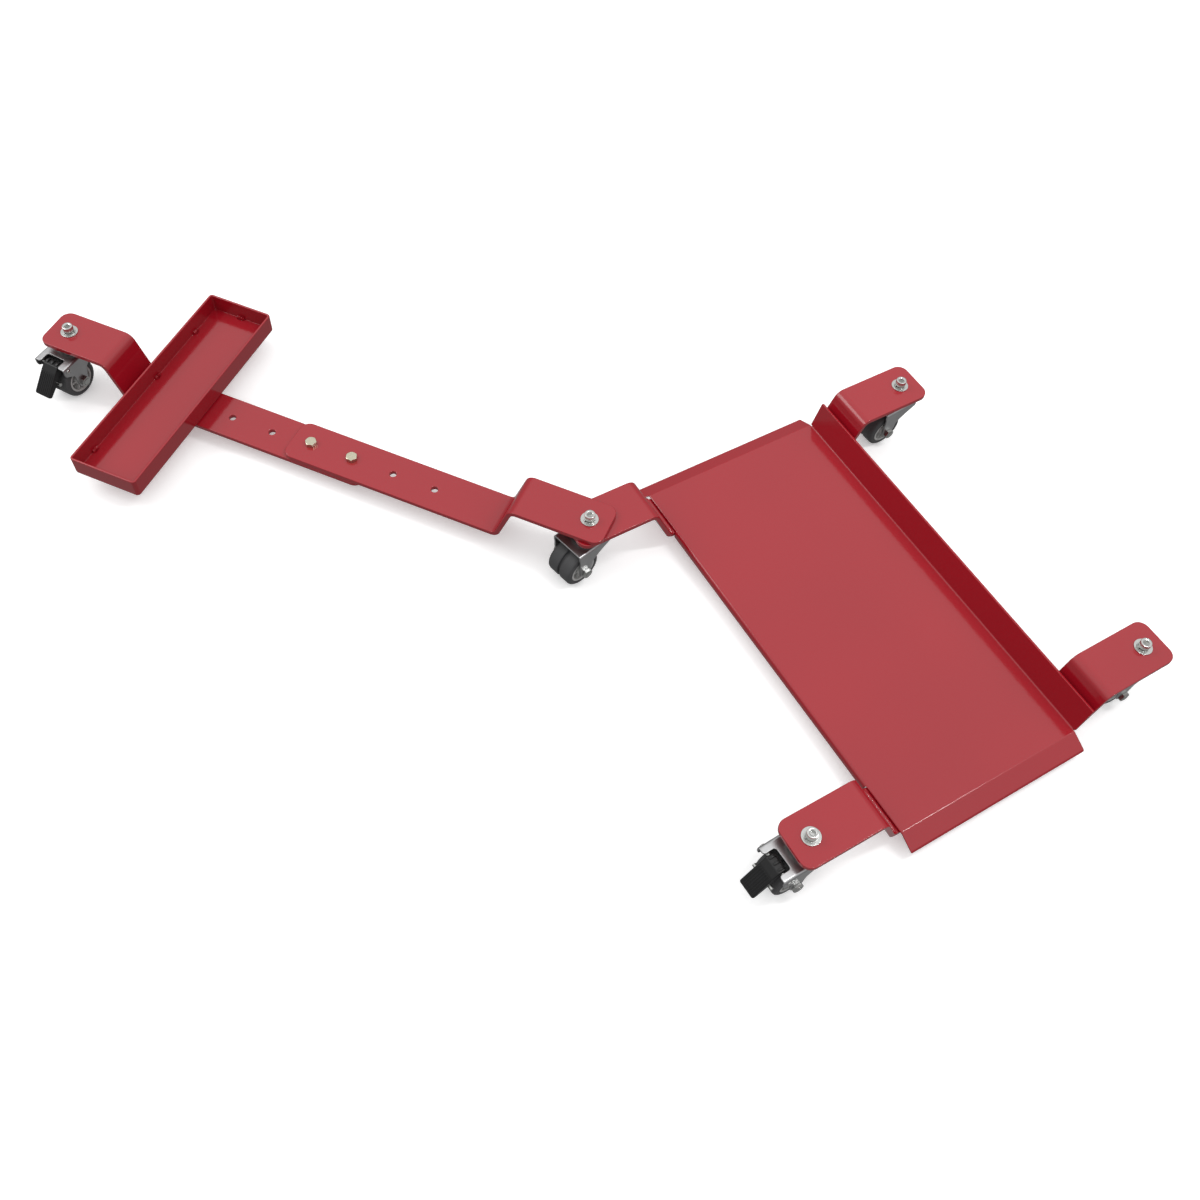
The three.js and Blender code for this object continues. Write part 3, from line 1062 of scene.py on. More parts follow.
@dataclass(frozen=True)
class Repeat:
    """Copies of a small shape, in a row or round a ring, set out by a geometry node group.

    Attributes:
        count: How many copies there are.
        step: How far each copy is moved from the last one, in millimetres.
        turn: How far each copy is turned from the last one about +Z, in radians.
        jitter: How much the copies' sizes differ, from 0 to 1.
        seed: Sets which copies are larger.
    """

    count: int
    step: Triple = (0.0, 0.0, 0.0)
    turn: float = 0.0
    jitter: float = 0.0
    seed: int = 7

    def tree(self, material: bpy.types.Material) -> ShapeTree:
        """Builds the group.

        Args:
            material: What the copies are made of.

        Returns:
            The group with its values.
        """
        inputs = {
            "Count": ("Int", self.count),
            "Step": ("Vector", Vector(self.step) * MM),
            "Turn": ("Float", self.turn),
            "Jitter": ("Float", self.jitter),
            "Seed": ("Int", self.seed),
        }
        made = ShapeTree("repeat", inputs, shaped=True)
        graph = made.graph
        index = graph.node("GeometryNodeInputIndex")
        step = {0: made.input("Step"), "Scale": index}
        place = graph.node("ShaderNodeVectorMath", step, operation="SCALE")
        count = made.input("Count")
        points = graph.node("GeometryNodePoints", {"Count": count, "Position": place})
        spin = graph.node("ShaderNodeCombineXYZ", {"Z": made.input("Turn") * index})
        drawn = graph.node("FunctionNodeRandomValue", {"Seed": made.input("Seed")}, output=1)
        jitter = made.input("Jitter")
        spread = {"Value": drawn, "To Min": 1.0 - jitter, "To Max": 1.0 + jitter}
        sizes = graph.node("ShaderNodeMapRange", spread)
        shape = made.input("Shape")
        placed = {"Points": points, "Instance": shape, "Rotation": spin, "Scale": sizes}
        made.close(graph.node("GeometryNodeInstanceOnPoints", placed), material)
        return made


@dataclass(frozen=True)
class WeldBead:
    """A rippled bead of weld along a straight line, laid by a geometry node group.

    Attributes:
        start: Where the bead starts, in millimetres.
        end: Where it ends.
        radius: The bead's radius.
        ripple: How much the radius swells at each ripple, as a share.
        pitch: The distance between ripples.
        seed: Sets how the bead wanders.
    """

    start: Triple
    end: Triple
    radius: float = 2.2
    ripple: float = 0.14
    pitch: float = 1.6
    seed: int = 3

    def tree(self, material: bpy.types.Material) -> ShapeTree:
        """Builds the group. See Repeat.tree."""
        inputs = {
            "Start": ("Vector", Vector(self.start) * MM),
            "End": ("Vector", Vector(self.end) * MM),
            "Radius": ("Float", self.radius * MM),
            "Ripple": ("Float", self.ripple),
            "Pitch": ("Float", self.pitch * MM),
            "Seed": ("Float", float(self.seed)),
        }
        made = ShapeTree("weld_bead", inputs)
        graph = made.graph
        pitch = made.input("Pitch")
        ends = {"Start": made.input("Start"), "End": made.input("End")}
        line = graph.node("GeometryNodeCurvePrimitiveLine", ends)
        cut = {"Curve": line, "Length": pitch * 0.2}
        fine = graph.node("GeometryNodeResampleCurve", cut, mode="LENGTH")
        along = graph.node("GeometryNodeSplineParameter", output="Length")
        share = graph.node("GeometryNodeSplineParameter", output="Factor")
        phase = graph.node("ShaderNodeMath", {0: along, 1: pitch}, operation="DIVIDE")
        wave = graph.node("ShaderNodeMath", {0: phase * math.tau}, operation="SINE")
        wander_per_metre = 260.0
        place = {"W": along * wander_per_metre + made.input("Seed"), "Detail": 1.0}
        wander = graph.node("ShaderNodeTexNoise", place, noise_dimensions="1D")
        fade = share.rise(0.0, 0.16) * (1.0 - share.rise(0.84, 1.0))
        swell = 1.0 + made.input("Ripple") * (wave + 3.6 * (wander - 0.5))
        radius = made.input("Radius") * swell * (0.12 + 0.88 * fade**0.5)
        section = graph.node("GeometryNodeCurvePrimitiveCircle", {"Resolution": 14, "Radius": 1.0})
        skin = {"Curve": fine, "Profile Curve": section, "Scale": radius, "Fill Caps": True}
        made.close(graph.node("GeometryNodeCurveToMesh", skin), material)
        return made


def evaluated(mesh: bpy.types.Mesh, dress: Callable[[bpy.types.Object], None]) -> bpy.types.Mesh:
    """A plain mesh made from another one by modifiers.

    Args:
        mesh: The mesh to start from.
        dress: Adds the modifiers to the object that holds it.

    Returns:
        The new mesh.
    """
    holder = bpy.data.objects.new("holder", mesh)
    bpy.context.scene.collection.objects.link(holder)
    dress(holder)
    view = bpy.context.evaluated_depsgraph_get()
    made = bpy.data.meshes.new_from_object(holder.evaluated_get(view), depsgraph=view)
    bpy.data.objects.remove(holder)
    return made


# ---------------------------------------------------------------- assemblies
class Assembly:
    """Pieces that share a frame of their own."""

    def __init__(self, place: Matrix) -> None:
        """Takes the place of the assembly's own frame, in millimetres."""
        self.place = place

    def add(
        self,
        name: str,
        solid: Solid,
        finish: Finish,
        body: str,
        replaced: Sequence[str] = (),
        local: Matrix | None = None,
        crease: float = 38.0,
    ) -> bpy.types.Object:
        """Makes a piece of a solid.

        Args:
            name: The piece's name.
            solid: Its shape in the assembly's frame.
            finish: Its finish.
            body: The CAD body that it rides on.
            replaced: The CAD nodes that it stands for.
            local: A turn and a move inside the assembly's frame.
            crease: The angle above which an edge looks sharp, in degrees.

        Returns:
            The piece.
        """
        whole = self.place @ local if local else self.place
        mesh = solid.moved(whole).mesh(name)
        return self._finish(name, mesh, finish, body, replaced, crease)

    def grow(
        self,
        name: str,
        source: "Repeat | WeldBead",
        finish: Finish,
        body: str,
        shape: Solid | None = None,
        local: Matrix | None = None,
    ) -> bpy.types.Object:
        """Makes a piece with a geometry node group.

        Args:
            name: The piece's name.
            source: What builds the group.
            finish: Its finish.
            body: The CAD body that it rides on.
            shape: The shape that the group copies, if it copies one.
            local: A turn and a move inside the assembly's frame.

        Returns:
            The piece.
        """
        grown = source.tree(finish.material)
        mesh = evaluated((shape or Solid()).mesh(name), grown.dress)
        bpy.data.node_groups.remove(grown.group)
        whole = self.place @ local if local else self.place
        mesh.transform(Matrix.Scale(MM, 4) @ whole @ Matrix.Scale(1 / MM, 4))
        return self._finish(name, mesh, finish, body, (), 60.0)

    def _finish(
        self,
        name: str,
        mesh: bpy.types.Mesh,
        finish: Finish,
        body: str,
        replaced: Sequence[str],
        crease: float,
    ) -> bpy.types.Object:
        """Smooths a mesh, gives it its finish and ties it to its CAD body.

        Args:
            name: The piece's name.
            mesh: Its shape, in place and in metres.
            finish: Its finish.
            body: The CAD body that it rides on.
            replaced: The CAD nodes that it stands for.
            crease: The angle above which an edge looks sharp, in degrees.

        Returns:
            The piece.
        """

        def dress(holder: bpy.types.Object) -> None:
            """Lets the large faces set the shading at their edges."""
            modifier = holder.modifiers.new("normals", "WEIGHTED_NORMAL")
            modifier.keep_sharp = True
            modifier.weight = 60

        mesh.shade_smooth()
        mesh.set_sharp_from_angle(angle=math.radians(crease))
        smooth = evaluated(mesh, dress)
        smooth.name = name
        smooth.materials.clear()
        smooth.materials.append(finish.material)
        piece = bpy.data.objects.new(name, smooth)
        bpy.context.scene.collection.objects.link(piece)
        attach(piece, body)
        if replaced:
            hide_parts(*replaced)
        LOG.info("%s on %s, %d faces", name, body, len(smooth.polygons))
        return piece


@dataclass
class Stock:
    """The flat bar that the bars are made of, and the holes in it.

    Attributes:
        width: The bar's width.
        thickness: Its thickness.
        bend: The radius of each bend, at the bar's middle.
        corner: The radius of its corners.
        hole: The radius of its holes.
        edge: The radius of its edges.
    """

    width: float = 60.0
    thickness: float = 6.0
    bend: float = 11.0
    corner: float = 13.0
    hole: float = 4.4
    edge: float = 0.9

    def bar(self, corners: Sequence[Pair], holes: Sequence[float]) -> Solid:
        """A bar bent in the (x, z) plane.

        Args:
            corners: The corners of its middle line.
            holes: The x of each hole, all of which lie on straight runs.

        Returns:
            The closed body, centred on y = 0.
        """
        line = FoldLine(corners, self.bend)
        half = self.width / 2
        plan = softened(rectangle(0.0, -half, line.length, half), self.corner, 10)

        def fold(a: float, b: float, height: float) -> Vector:
            """The bent place of a point of the flat bar."""
            point = line.at(a, height)
            return Vector((point.x, b, point.y))

        drilled = [ring((line.distance_of(x), 0.0), self.hole, 32) for x in holes]
        return Blank(plan, drilled, self.thickness, fold, line.cuts(10), edge=self.edge).solid()


@dataclass
class Deck:
    """The wheel deck with its flange and lips, and the two cross bars under it.

    Attributes:
        place: The deck's own frame.
        length: The deck's size from back to front.
        width: Its size from its left edge to its flange.
        top: The height of its floor's upper face.
        sheet: The sheet's thickness.
        bend: The radius of each fold, at the sheet's middle.
        side_drop: How far the left edge is folded down.
        flange_height: The flange's height above the floor.
        flange_lean: How far the flange leans out, in degrees.
        lip_run: How far the end lips stick out.
        lip_drop: How far they go down.
        lip_past: How far they reach into the bend on their left and on their right.
        tab: How far the front lip reaches past the deck's left edge.
        slit: The width of the slits beside the lips.
        relief: How far the slits run into the deck.
        corner: The radius of the sheet's corners.
        bar_inset: How far each bar's middle is from the deck's end.
        bar_top: The height of the bars' raised ends.
        bar_gap: The gap between a bar and the deck.
        riser_lean: How far the risers lean, in degrees.
        riser_clearance: How far a riser's foot is from the deck.
        overhang: How far each kingpin is from the deck.
        bar_end: How far a bar goes on past its kingpin.
        stock: The flat bar that the bars are made of.
    """

    place: Matrix
    length: float = 515.0
    width: float = 254.0
    top: float = 28.5
    sheet: float = 3.0
    bend: float = 3.5
    side_drop: float = 10.0
    flange_height: float = 36.0
    flange_lean: float = 15.0
    lip_run: float = 16.0
    lip_drop: float = 10.0
    lip_past: Pair = (2.6, 1.8)
    tab: float = 9.0
    slit: float = 1.7
    relief: float = 3.0
    corner: float = 1.6
    bar_inset: float = 32.0
    bar_top: float = 80.0
    bar_gap: float = 0.3
    riser_lean: float = 24.0
    riser_clearance: float = 6.0
    overhang: float = 107.0
    bar_end: float = 26.0
    stock: Stock = field(default_factory=Stock)

    @property
    def floor(self) -> float:
        """The height of the middle of the deck's sheet."""
        return self.top - self.sheet / 2

    def pan(self) -> Solid:
        """The deck: one sheet with its left edge, flange and two lips folded.

        Returns:
            The closed body.
        """
        half = self.sheet / 2
        rise = self.flange_height + half
        lean = math.tan(math.radians(self.flange_lean))
        across = FoldLine(
            [
                (half, self.top - self.side_drop),
                (half, self.floor),
                (self.width, self.floor),
                (self.width + rise * lean, self.floor + rise),
            ],
            self.bend,
        )
        reach = self.length / 2
        tip = (reach + self.lip_run, self.floor - self.lip_drop)
        along = FoldLine([(0.0, self.floor), (reach, self.floor), tip], self.bend)
        lip_start = along.runs[1][0]
        lip = along.length - reach
        flat_start = across.runs[2][0]
        flat_end = across.runs[3][0]
        lip_left = flat_start - self.lip_past[0]
        lip_right = flat_end + self.lip_past[1]
        slit_middle = lip_right + self.slit / 2
        notch_end = self.bar_inset + self.stock.width / 2 + 1.0

        def fold(a: float, b: float, height: float) -> Vector:
            """The folded place of a point of the flat sheet."""
            point = across.at(a, height)
            out = abs(b - reach)
            shift = Vector((0.0, 0.0))
            if out > reach and a < flat_start:
                point = across.at(flat_start, height) + Vector((a - flat_start, 0.0))
            if out > lip_start and a < slit_middle:
                shift = along.at(out, height) - Vector((out, self.floor + height))
            end = math.copysign(shift.x, b - reach)
            return Vector((point.x, b + end, point.y + shift.y))

        left = [(0.0, notch_end), (lip_left, notch_end)]
        tab_start = -self.slit / 2
        tab_end = lip_left - self.tab
        tab = [(lip_left, tab_start), (tab_end, tab_start), (tab_end, -lip)]
        right = [
            (lip_right, -lip),
            (lip_right, self.relief),
            (lip_right + self.slit, self.relief),
            (lip_right + self.slit, 0.0),
            (across.length, 0.0),
        ]
        rear = [*left, (lip_left, -lip), *right]
        front = [(a, self.length - b) for a, b in reversed([*left, *tab, *right])]
        outline = softened([*rear, *front], self.corner, 5)
        ends = along.cuts(6)
        cuts_b = [reach + out for out in ends] + [reach - out for out in ends]
        return Blank(outline, [], self.sheet, fold, across.cuts(8), cuts_b, edge=0.55).solid()

    def cross_bar(self) -> Solid:
        """A cross bar, centred on y = 0.

        Returns:
            The closed body.
        """
        half = self.stock.thickness / 2
        high = self.bar_top - half
        low = self.top - self.sheet - self.bar_gap - half
        lean = (high - low) * math.tan(math.radians(self.riser_lean))
        end = self.overhang + self.bar_end
        side = [(end, high), (self.riser_clearance + lean, high), (self.riser_clearance, low)]
        left = [(-x, z) for x, z in side]
        right = [(self.width + x, z) for x, z in reversed(side)]
        return self.stock.bar([*left, *right], [-self.overhang, self.width + self.overhang])

    def build(self) -> None:
        """Makes the deck, the cross bars and the welds that hold them together."""
        group = Assembly(self.place)
        group.add("deck_pan", self.pan(), RED_PAINT, "frame", ["deck"])
        for end, y in (("rear", self.bar_inset), ("front", self.length - self.bar_inset)):
            at = Matrix.Translation((0, y, 0))
            bar = self.cross_bar()
            group.add(f"{end}_bar", bar, RED_PAINT, "frame", [f"{end}_cross_bar"], at)
            self.stitch(group, end, y)

    def stitch(self, group: Assembly, end: str, y: float) -> None:
        """Lays the welds between the deck and a cross bar.

        There are two short ones along each long side of the bar, under the deck, and a smooth
        seam across it, under the deck's left edge.

        Args:
            group: The deck's pieces.
            end: The bar's name, rear or front.
            y: Where the bar's middle is.
        """
        starts = (38.0, 178.0)
        length = 38.0
        reach = self.stock.width / 2
        underside = self.top - self.sheet
        weld_out = reach + 0.3
        weld_z = underside - 0.4
        for side, away in (("outer", -weld_out), ("inner", weld_out)):
            for index, x in enumerate(starts):
                line = ((x, y + away, weld_z), (x + length, y + away, weld_z))
                bead = WeldBead(*line, seed=index + 3)
                group.grow(f"{end}_{side}_weld_{index + 1}", bead, RED_PAINT, "frame")
        past = 4.0 if end == "front" else 0.0
        seam_x = -self.riser_clearance / 2 + 0.6
        seam_z = underside - 1.0
        line = ((seam_x, y - reach, seam_z), (seam_x, y + reach + past, seam_z))
        seam = WeldBead(*line, radius=3.4, ripple=0.02, seed=11)
        group.grow(f"{end}_seam", seam, RED_PAINT, "frame")


@dataclass
class StandArm:
    """The swinging arm: two lapped bars, their bolts and the stand tray.

    Attributes:
        place: The arm's own frame.
        top: The height of the arm bar's lower run.
        step: How far from the pivot the arm bar starts to drop.
        end: How far a bar goes on past its last hole.
        strap_top: The height of the bars' raised ends.
        riser_lean: How far the risers lean, in degrees.
        first_hole: The first hole's distance from the pivot.
        pitch: The distance between holes.
        bolted: Which of the arm bar's holes have bolts.
        tray_centre: The tray's distance from the pivot.
        tray_depth: The tray's size along the arm.
        tray_length: Its size across the arm.
        tray_height: Its height.
        tray_corner: The radius of its corners.
        tray_sheet: The thickness of its sheet.
        riser: Where the tray bar starts to rise.
        castor: The stand castor's distance from the pivot.
        gap: The gap between parts that touch.
        spanner: The bolts' size across flats.
        head: The height of their heads.
        nut: The height of their nuts.
        thread_end: How far they stick out of their nuts.
        bolt_radius: Their radius.
        thread: How much of them is threaded.
        stock: The flat bar that the bars are made of.
    """

    place: Matrix
    top: float = 32.0
    step: float = 90.0
    end: float = 26.0
    strap_top: float = 80.0
    riser_lean: float = 20.0
    first_hole: float = 207.0
    pitch: float = 58.0
    bolted: tuple[int, ...] = (2, 3)
    tray_centre: float = 576.5
    tray_depth: float = 93.0
    tray_length: float = 317.0
    tray_height: float = 27.0
    tray_corner: float = 5.0
    tray_sheet: float = 3.0
    riser: float = 635.0
    castor: float = 725.0
    gap: float = 0.3
    spanner: float = 13.0
    head: float = 5.3
    nut: float = 6.5
    thread_end: float = 2.5
    bolt_radius: float = 4.0
    thread: float = 14.0
    stock: Stock = field(default_factory=Stock)

    @property
    def holes(self) -> list[float]:
        """Where the arm bar's holes are."""
        return [self.first_hole + index * self.pitch for index in range(4)]

    @property
    def tray_bottom(self) -> float:
        """The height of the tray's lower face."""
        return self.top - self.stock.thickness

    def arm_bar(self) -> Solid:
        """The inner bar, which steps down from the pivot's castor.

        Returns:
            The closed body.
        """
        half = self.stock.thickness / 2
        high = self.strap_top + self.gap + half
        low = self.top - half
        lean = (high - low) * math.tan(math.radians(self.riser_lean))
        corners = [(-self.end, high), (self.step, high), (self.step + lean, low)]
        corners.append((self.holes[-1] + self.end, low))
        return self.stock.bar(corners, [0.0, *self.holes])

    def tray_bar(self) -> Solid:
        """The outer bar, which steps up to the stand castor.

        Returns:
            The closed body.
        """
        half = self.stock.thickness / 2
        high = self.strap_top - half
        low = self.tray_bottom - self.gap - half
        lean = (high - low) * math.tan(math.radians(self.riser_lean))
        holes = [x + self.bolted[0] * self.pitch for x in self.holes]
        corners = [(holes[0] - self.end, low), (self.riser, low), (self.riser + lean, high)]
        corners.append((self.castor + self.end, high))
        return self.stock.bar(corners, [*holes, self.castor])

    def tray(self) -> Solid:
        """The stand tray: a pressed box with rounded corners and rim.

        Returns:
            The closed body.
        """
        foot = 3.0
        lip = 1.1
        fillet = 0.5
        fillet_steps = 6
        thick = self.tray_sheet
        bottom = self.tray_bottom
        rim = bottom + self.tray_height
        levels = [(bottom + depth, away) for away, depth in edge_steps(foot, 5)]
        levels += [(rim - depth, away) for away, depth in reversed(edge_steps(lip, 4))]
        levels += [(rim - depth, thick - away) for away, depth in edge_steps(lip, 4)]
        for step in range(fillet_steps + 1):
            angle = math.pi / 2 * step / fillet_steps
            height = bottom + thick + fillet * (1 - math.sin(angle))
            levels.append((height, thick + fillet * (1 - math.cos(angle))))
        rings = []
        for height, away in levels:
            left = self.tray_centre - self.tray_depth / 2 + away
            right = self.tray_centre + self.tray_depth / 2 - away
            side = self.tray_length / 2 - away
            corner = max(0.8, self.tray_corner - away)
            plan = softened(rectangle(left, -side, right, side), corner, 8)
            rings.append([Vector((x, y, height)) for x, y in plan])
        return lofted(rings)

    def build(self) -> None:
        """Makes the bars, the tray, the bolts and the welds."""
        group = Assembly(self.place)
        group.add("arm_inner_bar", self.arm_bar(), RED_PAINT, "arm", ["arm_bar"])
        group.add("arm_outer_bar", self.tray_bar(), RED_PAINT, "arm", ["tray_bar"])
        group.add("tray_pan", self.tray(), RED_PAINT, "arm", ["stand_tray"])
        seat = self.top + self.gap
        under = self.tray_bottom - self.gap - self.stock.thickness - self.gap
        length = seat - under + self.nut + self.thread_end
        for name, number in zip(("inner", "outer"), self.bolted):
            x = self.holes[number]
            turn = Matrix.Rotation(math.radians(14 + 20 * number), 4, "Z")
            at = Matrix.Translation((x, 0, seat)) @ turn
            bolt = hexagon_bolt(self.spanner, self.head, self.bolt_radius, length, self.thread)
            group.add(f"{name}_clamp_bolt", bolt, YELLOW_ZINC, "arm", [f"arm_bolt_{name}"], at)
            flip = Matrix.Translation((x, 0, under)) @ Matrix.Rotation(math.pi, 4, "X")
            nut = hexagon_nut(self.spanner, self.nut, self.bolt_radius + self.gap)
            group.add(f"{name}_clamp_nut", nut, YELLOW_ZINC, "arm", [f"arm_nut_{name}"], flip)
        self.tack(group)

    def tack(self, group: Assembly) -> None:
        """Lays the short tacks inside the tray, and the welds under it along its bar.

        Args:
            group: The arm's pieces.
        """
        inside = self.tray_sheet + 1.0
        far = self.tray_centre + self.tray_depth / 2 - inside
        floor = self.tray_bottom + self.tray_sheet + 1.8
        tack_radius = 2.7
        tack_half = 5.5
        for index, v in enumerate((-107.0, -17.0, 120.0)):
            line = ((far, v - tack_half, floor), (far, v + tack_half, floor))
            tack = WeldBead(*line, radius=tack_radius, seed=index)
            group.grow(f"tray_tack_{index + 1}", tack, RED_PAINT, "arm")
        near = -self.tray_length / 2 + inside
        line = ((self.tray_centre - 4.0, near, floor), (self.tray_centre + 8.0, near, floor))
        group.grow("tray_tack_4", WeldBead(*line, radius=tack_radius, seed=9), RED_PAINT, "arm")
        half = self.stock.width / 2 + 0.4
        low = self.tray_bottom - 0.5
        left = self.tray_centre - 32.0
        length = 64.0
        for index, v in enumerate((-half, half)):
            bead = WeldBead((left, v, low), (left + length, v, low), radius=2.0, seed=index + 20)
            group.grow(f"tray_weld_{index + 1}", bead, RED_PAINT, "arm")


@dataclass
class Castor:
    """A swivel castor in its own frame.

    Attributes:
        name: The start of its CAD nodes' names.
        place: The castor's own frame.
        carrier: The CAD body that its kingpin rides on.
        seat: The height of the face under its washers.
        braked: Whether it has a brake pedal.
        wheel_radius: The wheel's radius.
        tyre_width: The tyre's width.
        tyre_bore: The tyre's inner radius.
        trail: How far the axle is from the kingpin.
        half_width: Half the fork's width.
        sheet: The thickness of the fork's sheet.
        top: The height of the fork's upper face.
        fold: The radius of its folds, at the sheet's middle.
        front: How far its top reaches past the kingpin.
        braked_front: The same where there is a brake.
        rear: Where its top ends behind the kingpin.
        boss: The radius of its cheeks round the axle, and of the hub's boss.
        notch: Where the pedal's notch in its top starts.
        notch_half: Half the notch's width.
        race_radius: The swivel race's radius.
        strap_under: The height of the bar's lower face.
        pin: Where the pedal's pin is, as (x, z).
        pin_radius: The pin's radius.
        pin_head: The radius of its heads.
        pedal_width: The pedal's width.
        pedal_knee: Where the pedal's tread starts, from the pin.
        pedal_toe: Where it ends.
        gap: The gap between parts that touch.
        spanner: The kingpin nut's size across flats.
        nut: Its height.
        axle_spanner: The axle bolt's size across flats.
        axle_nut: The height of its head and of its nut.
        bolt_radius: The radius of the kingpin and of the axle bolt.
    """

    name: str
    place: Matrix
    carrier: str
    seat: float
    braked: bool
    wheel_radius: float = 25.0
    tyre_width: float = 38.0
    tyre_bore: float = 18.0
    trail: float = 24.0
    half_width: float = 23.5
    sheet: float = 2.5
    top: float = 63.0
    fold: float = 2.2
    front: float = 35.0
    braked_front: float = 47.0
    rear: float = -15.0
    boss: float = 8.0
    notch: float = 32.0
    notch_half: float = 13.5
    race_radius: float = 23.0
    strap_under: float = 74.0
    pin: Pair = (40.0, 55.5)
    pin_radius: float = 2.2
    pin_head: float = 3.4
    pedal_width: float = 23.0
    pedal_knee: Pair = (12.0, -1.0)
    pedal_toe: Pair = (35.0, -24.5)
    gap: float = 0.3
    spanner: float = 13.0
    nut: float = 6.5
    axle_spanner: float = 12.0
    axle_nut: float = 4.2
    bolt_radius: float = 4.0

    def cheek(self, front: float) -> list[Pair]:
        """The edge of one of the fork's cheeks.

        Args:
            front: How far the fork's top reaches past the kingpin.

        Returns:
            (x, z) points from the rear of the top, down round the axle and up to the front.
        """
        shoulder = (self.rear, self.top - 6.0)
        edge = swept(shoulder, (6.0, self.top - 16.0), (13.0, 39.0), 8)
        steps = 16
        for step in range(steps + 1):
            angle = math.pi + math.pi * step / steps
            x = self.trail + self.boss * math.cos(angle)
            edge.append((x, self.wheel_radius + self.boss * math.sin(angle)))
        edge += [(self.front - 1.0, 42.0), (front - 1.0, self.top - 13.0), (front, self.top - 8.0)]
        return edge

    def fork(self) -> Solid:
        """The fork: one sheet with its two cheeks folded down.

        Returns:
            The closed body.
        """
        low = 10.0
        side = self.half_width - self.sheet / 2
        high = self.top - self.sheet / 2
        across = FoldLine([(-side, low), (-side, high), (side, high), (side, low)], self.fold)
        front = self.braked_front if self.braked else self.front
        near = [(z - low, x) for x, z in self.cheek(front)]
        far = [(across.length - a, b) for a, b in reversed(near)]
        middle = across.length / 2
        left = middle - self.notch_half
        right = middle + self.notch_half
        notch = [(left, front), (left, self.notch), (right, self.notch), (right, front)]
        outline = [*near, *(notch if self.braked else []), *far]

        def fold(a: float, b: float, height: float) -> Vector:
            """The folded place of a point of the flat sheet."""
            point = across.at(a, height)
            return Vector((b, point.x, point.y))

        holes = [ring((middle, 0.0), self.bolt_radius + 0.4, 24)]
        places = [(self.wheel_radius - low, self.trail, self.bolt_radius + self.gap)]
        if self.braked:
            places.append((self.pin[1] - low, self.pin[0], self.pin_radius + self.gap))
        for a, b, size in places:
            holes += [ring((a, b), size, 24), ring((across.length - a, b), size, 24)]
        outline = softened(outline[::-1], 3.2, 6)
        return Blank(outline, holes, self.sheet, fold, across.cuts(7), edge=0.5).solid()

    def race(self) -> Solid:
        """The swivel race: an upper and a lower pressed cup, closed in one body.

        Returns:
            The closed body.
        """
        bore = self.bolt_radius + self.gap
        rim = self.race_radius
        low = self.top + 0.4
        high = self.strap_under - self.gap
        floor = 17.0
        bulge = 20.2
        slit = 18.6
        shoulder = 19.5
        lower_cup = [(bore, low), (floor, low), (19.3, low + 1.2)]
        lower_cup += [(bulge, low + 3.0), (bulge - 0.2, low + 3.8)]
        opening = [(slit, low + 4.1), (slit, low + 5.0)]
        upper_cup = [(rim - 0.5, low + 5.2), (rim, low + 6.0), (rim, low + 7.8)]
        upper_cup += [(rim - 1.2, low + 9.3), (shoulder, high), (bore, high)]
        return turned(softened([*lower_cup, *opening, *upper_cup], 0.9, 3), 80, closed=True)

    def tyre(self) -> Solid:
        """The tyre: two treads with a groove between them, and a raised ring on each side.

        Returns:
            The closed body.
        """
        half = self.tyre_width / 2
        radius = self.wheel_radius
        bore = self.tyre_bore
        groove = 1.5
        raised_ring = [(bore, half - 0.4), (bore + 1.0, half), (bore + 2.6, half)]
        wall = [(bore + 3.0, half - 0.6), (radius - 2.4, half - 0.7), (radius - 0.6, half - 2.2)]
        tread = [(radius, half - 4.5), (radius, groove + 1.6)]
        root = [(radius - 0.7, groove + 0.3), (radius - 3.4, groove)]
        side = [*raised_ring, *wall, *tread, *root]
        other = [(r, -z) for r, z in reversed(side)]
        return turned(softened([*side, *other], 0.9, 4), 96, closed=True)

    def hub(self) -> Solid:
        """The hub: a rim, a recessed web and a boss.

        Returns:
            The closed body.
        """
        half = self.tyre_width / 2 - 0.5
        rim = self.tyre_bore - 0.1
        bore = self.bolt_radius + 0.35
        web = 4.0
        bevel = 0.8
        boss = [(bore, half), (self.boss - 0.6, half), (self.boss, half - bevel)]
        recess = [(self.boss + bevel, web), (rim - 3.6, web), (rim - 2.8, half - bevel)]
        side = [*boss, *recess, (rim - 2.2, half), (rim, half)]
        other = [(r, -z) for r, z in reversed(side)]
        return turned(softened([*side, *other], 0.6, 3), 72, closed=True)

    def hub_rib(self) -> Solid:
        """One radial rib on the hub's web, on both of its faces.

        Returns:
            The closed body.
        """
        half = self.tyre_width / 2 - 2.5
        thick = 0.9
        flat = rectangle(self.boss, -thick, self.tyre_bore - 2.9, thick)
        return softened_slab(softened(flat, 0.4, 2), -half, half, 0.3)

    def pedal(self) -> Solid:
        """The brake pedal, around its pin, with its width along +Z.

        Returns:
            The closed body.
        """
        heel = [(-6.0, -4.5), (2.0, -7.0)]
        underside = [(12.0, -16.0), (30.0, -29.5)]
        crown = [(5.0, 5.0), (-5.0, 4.5)]
        side = [*heel, *underside, self.pedal_toe, self.pedal_knee, *crown]
        half = self.pedal_width / 2
        return softened_slab(softened(side, 2.8, 6), -half, half, 2.0)

    def build(self) -> None:
        """Makes the castor's pieces."""
        group = Assembly(self.place)
        self.swivel(group)
        self.wheel(group)
        self.axle(group)
        if self.braked:
            self.brake(group)

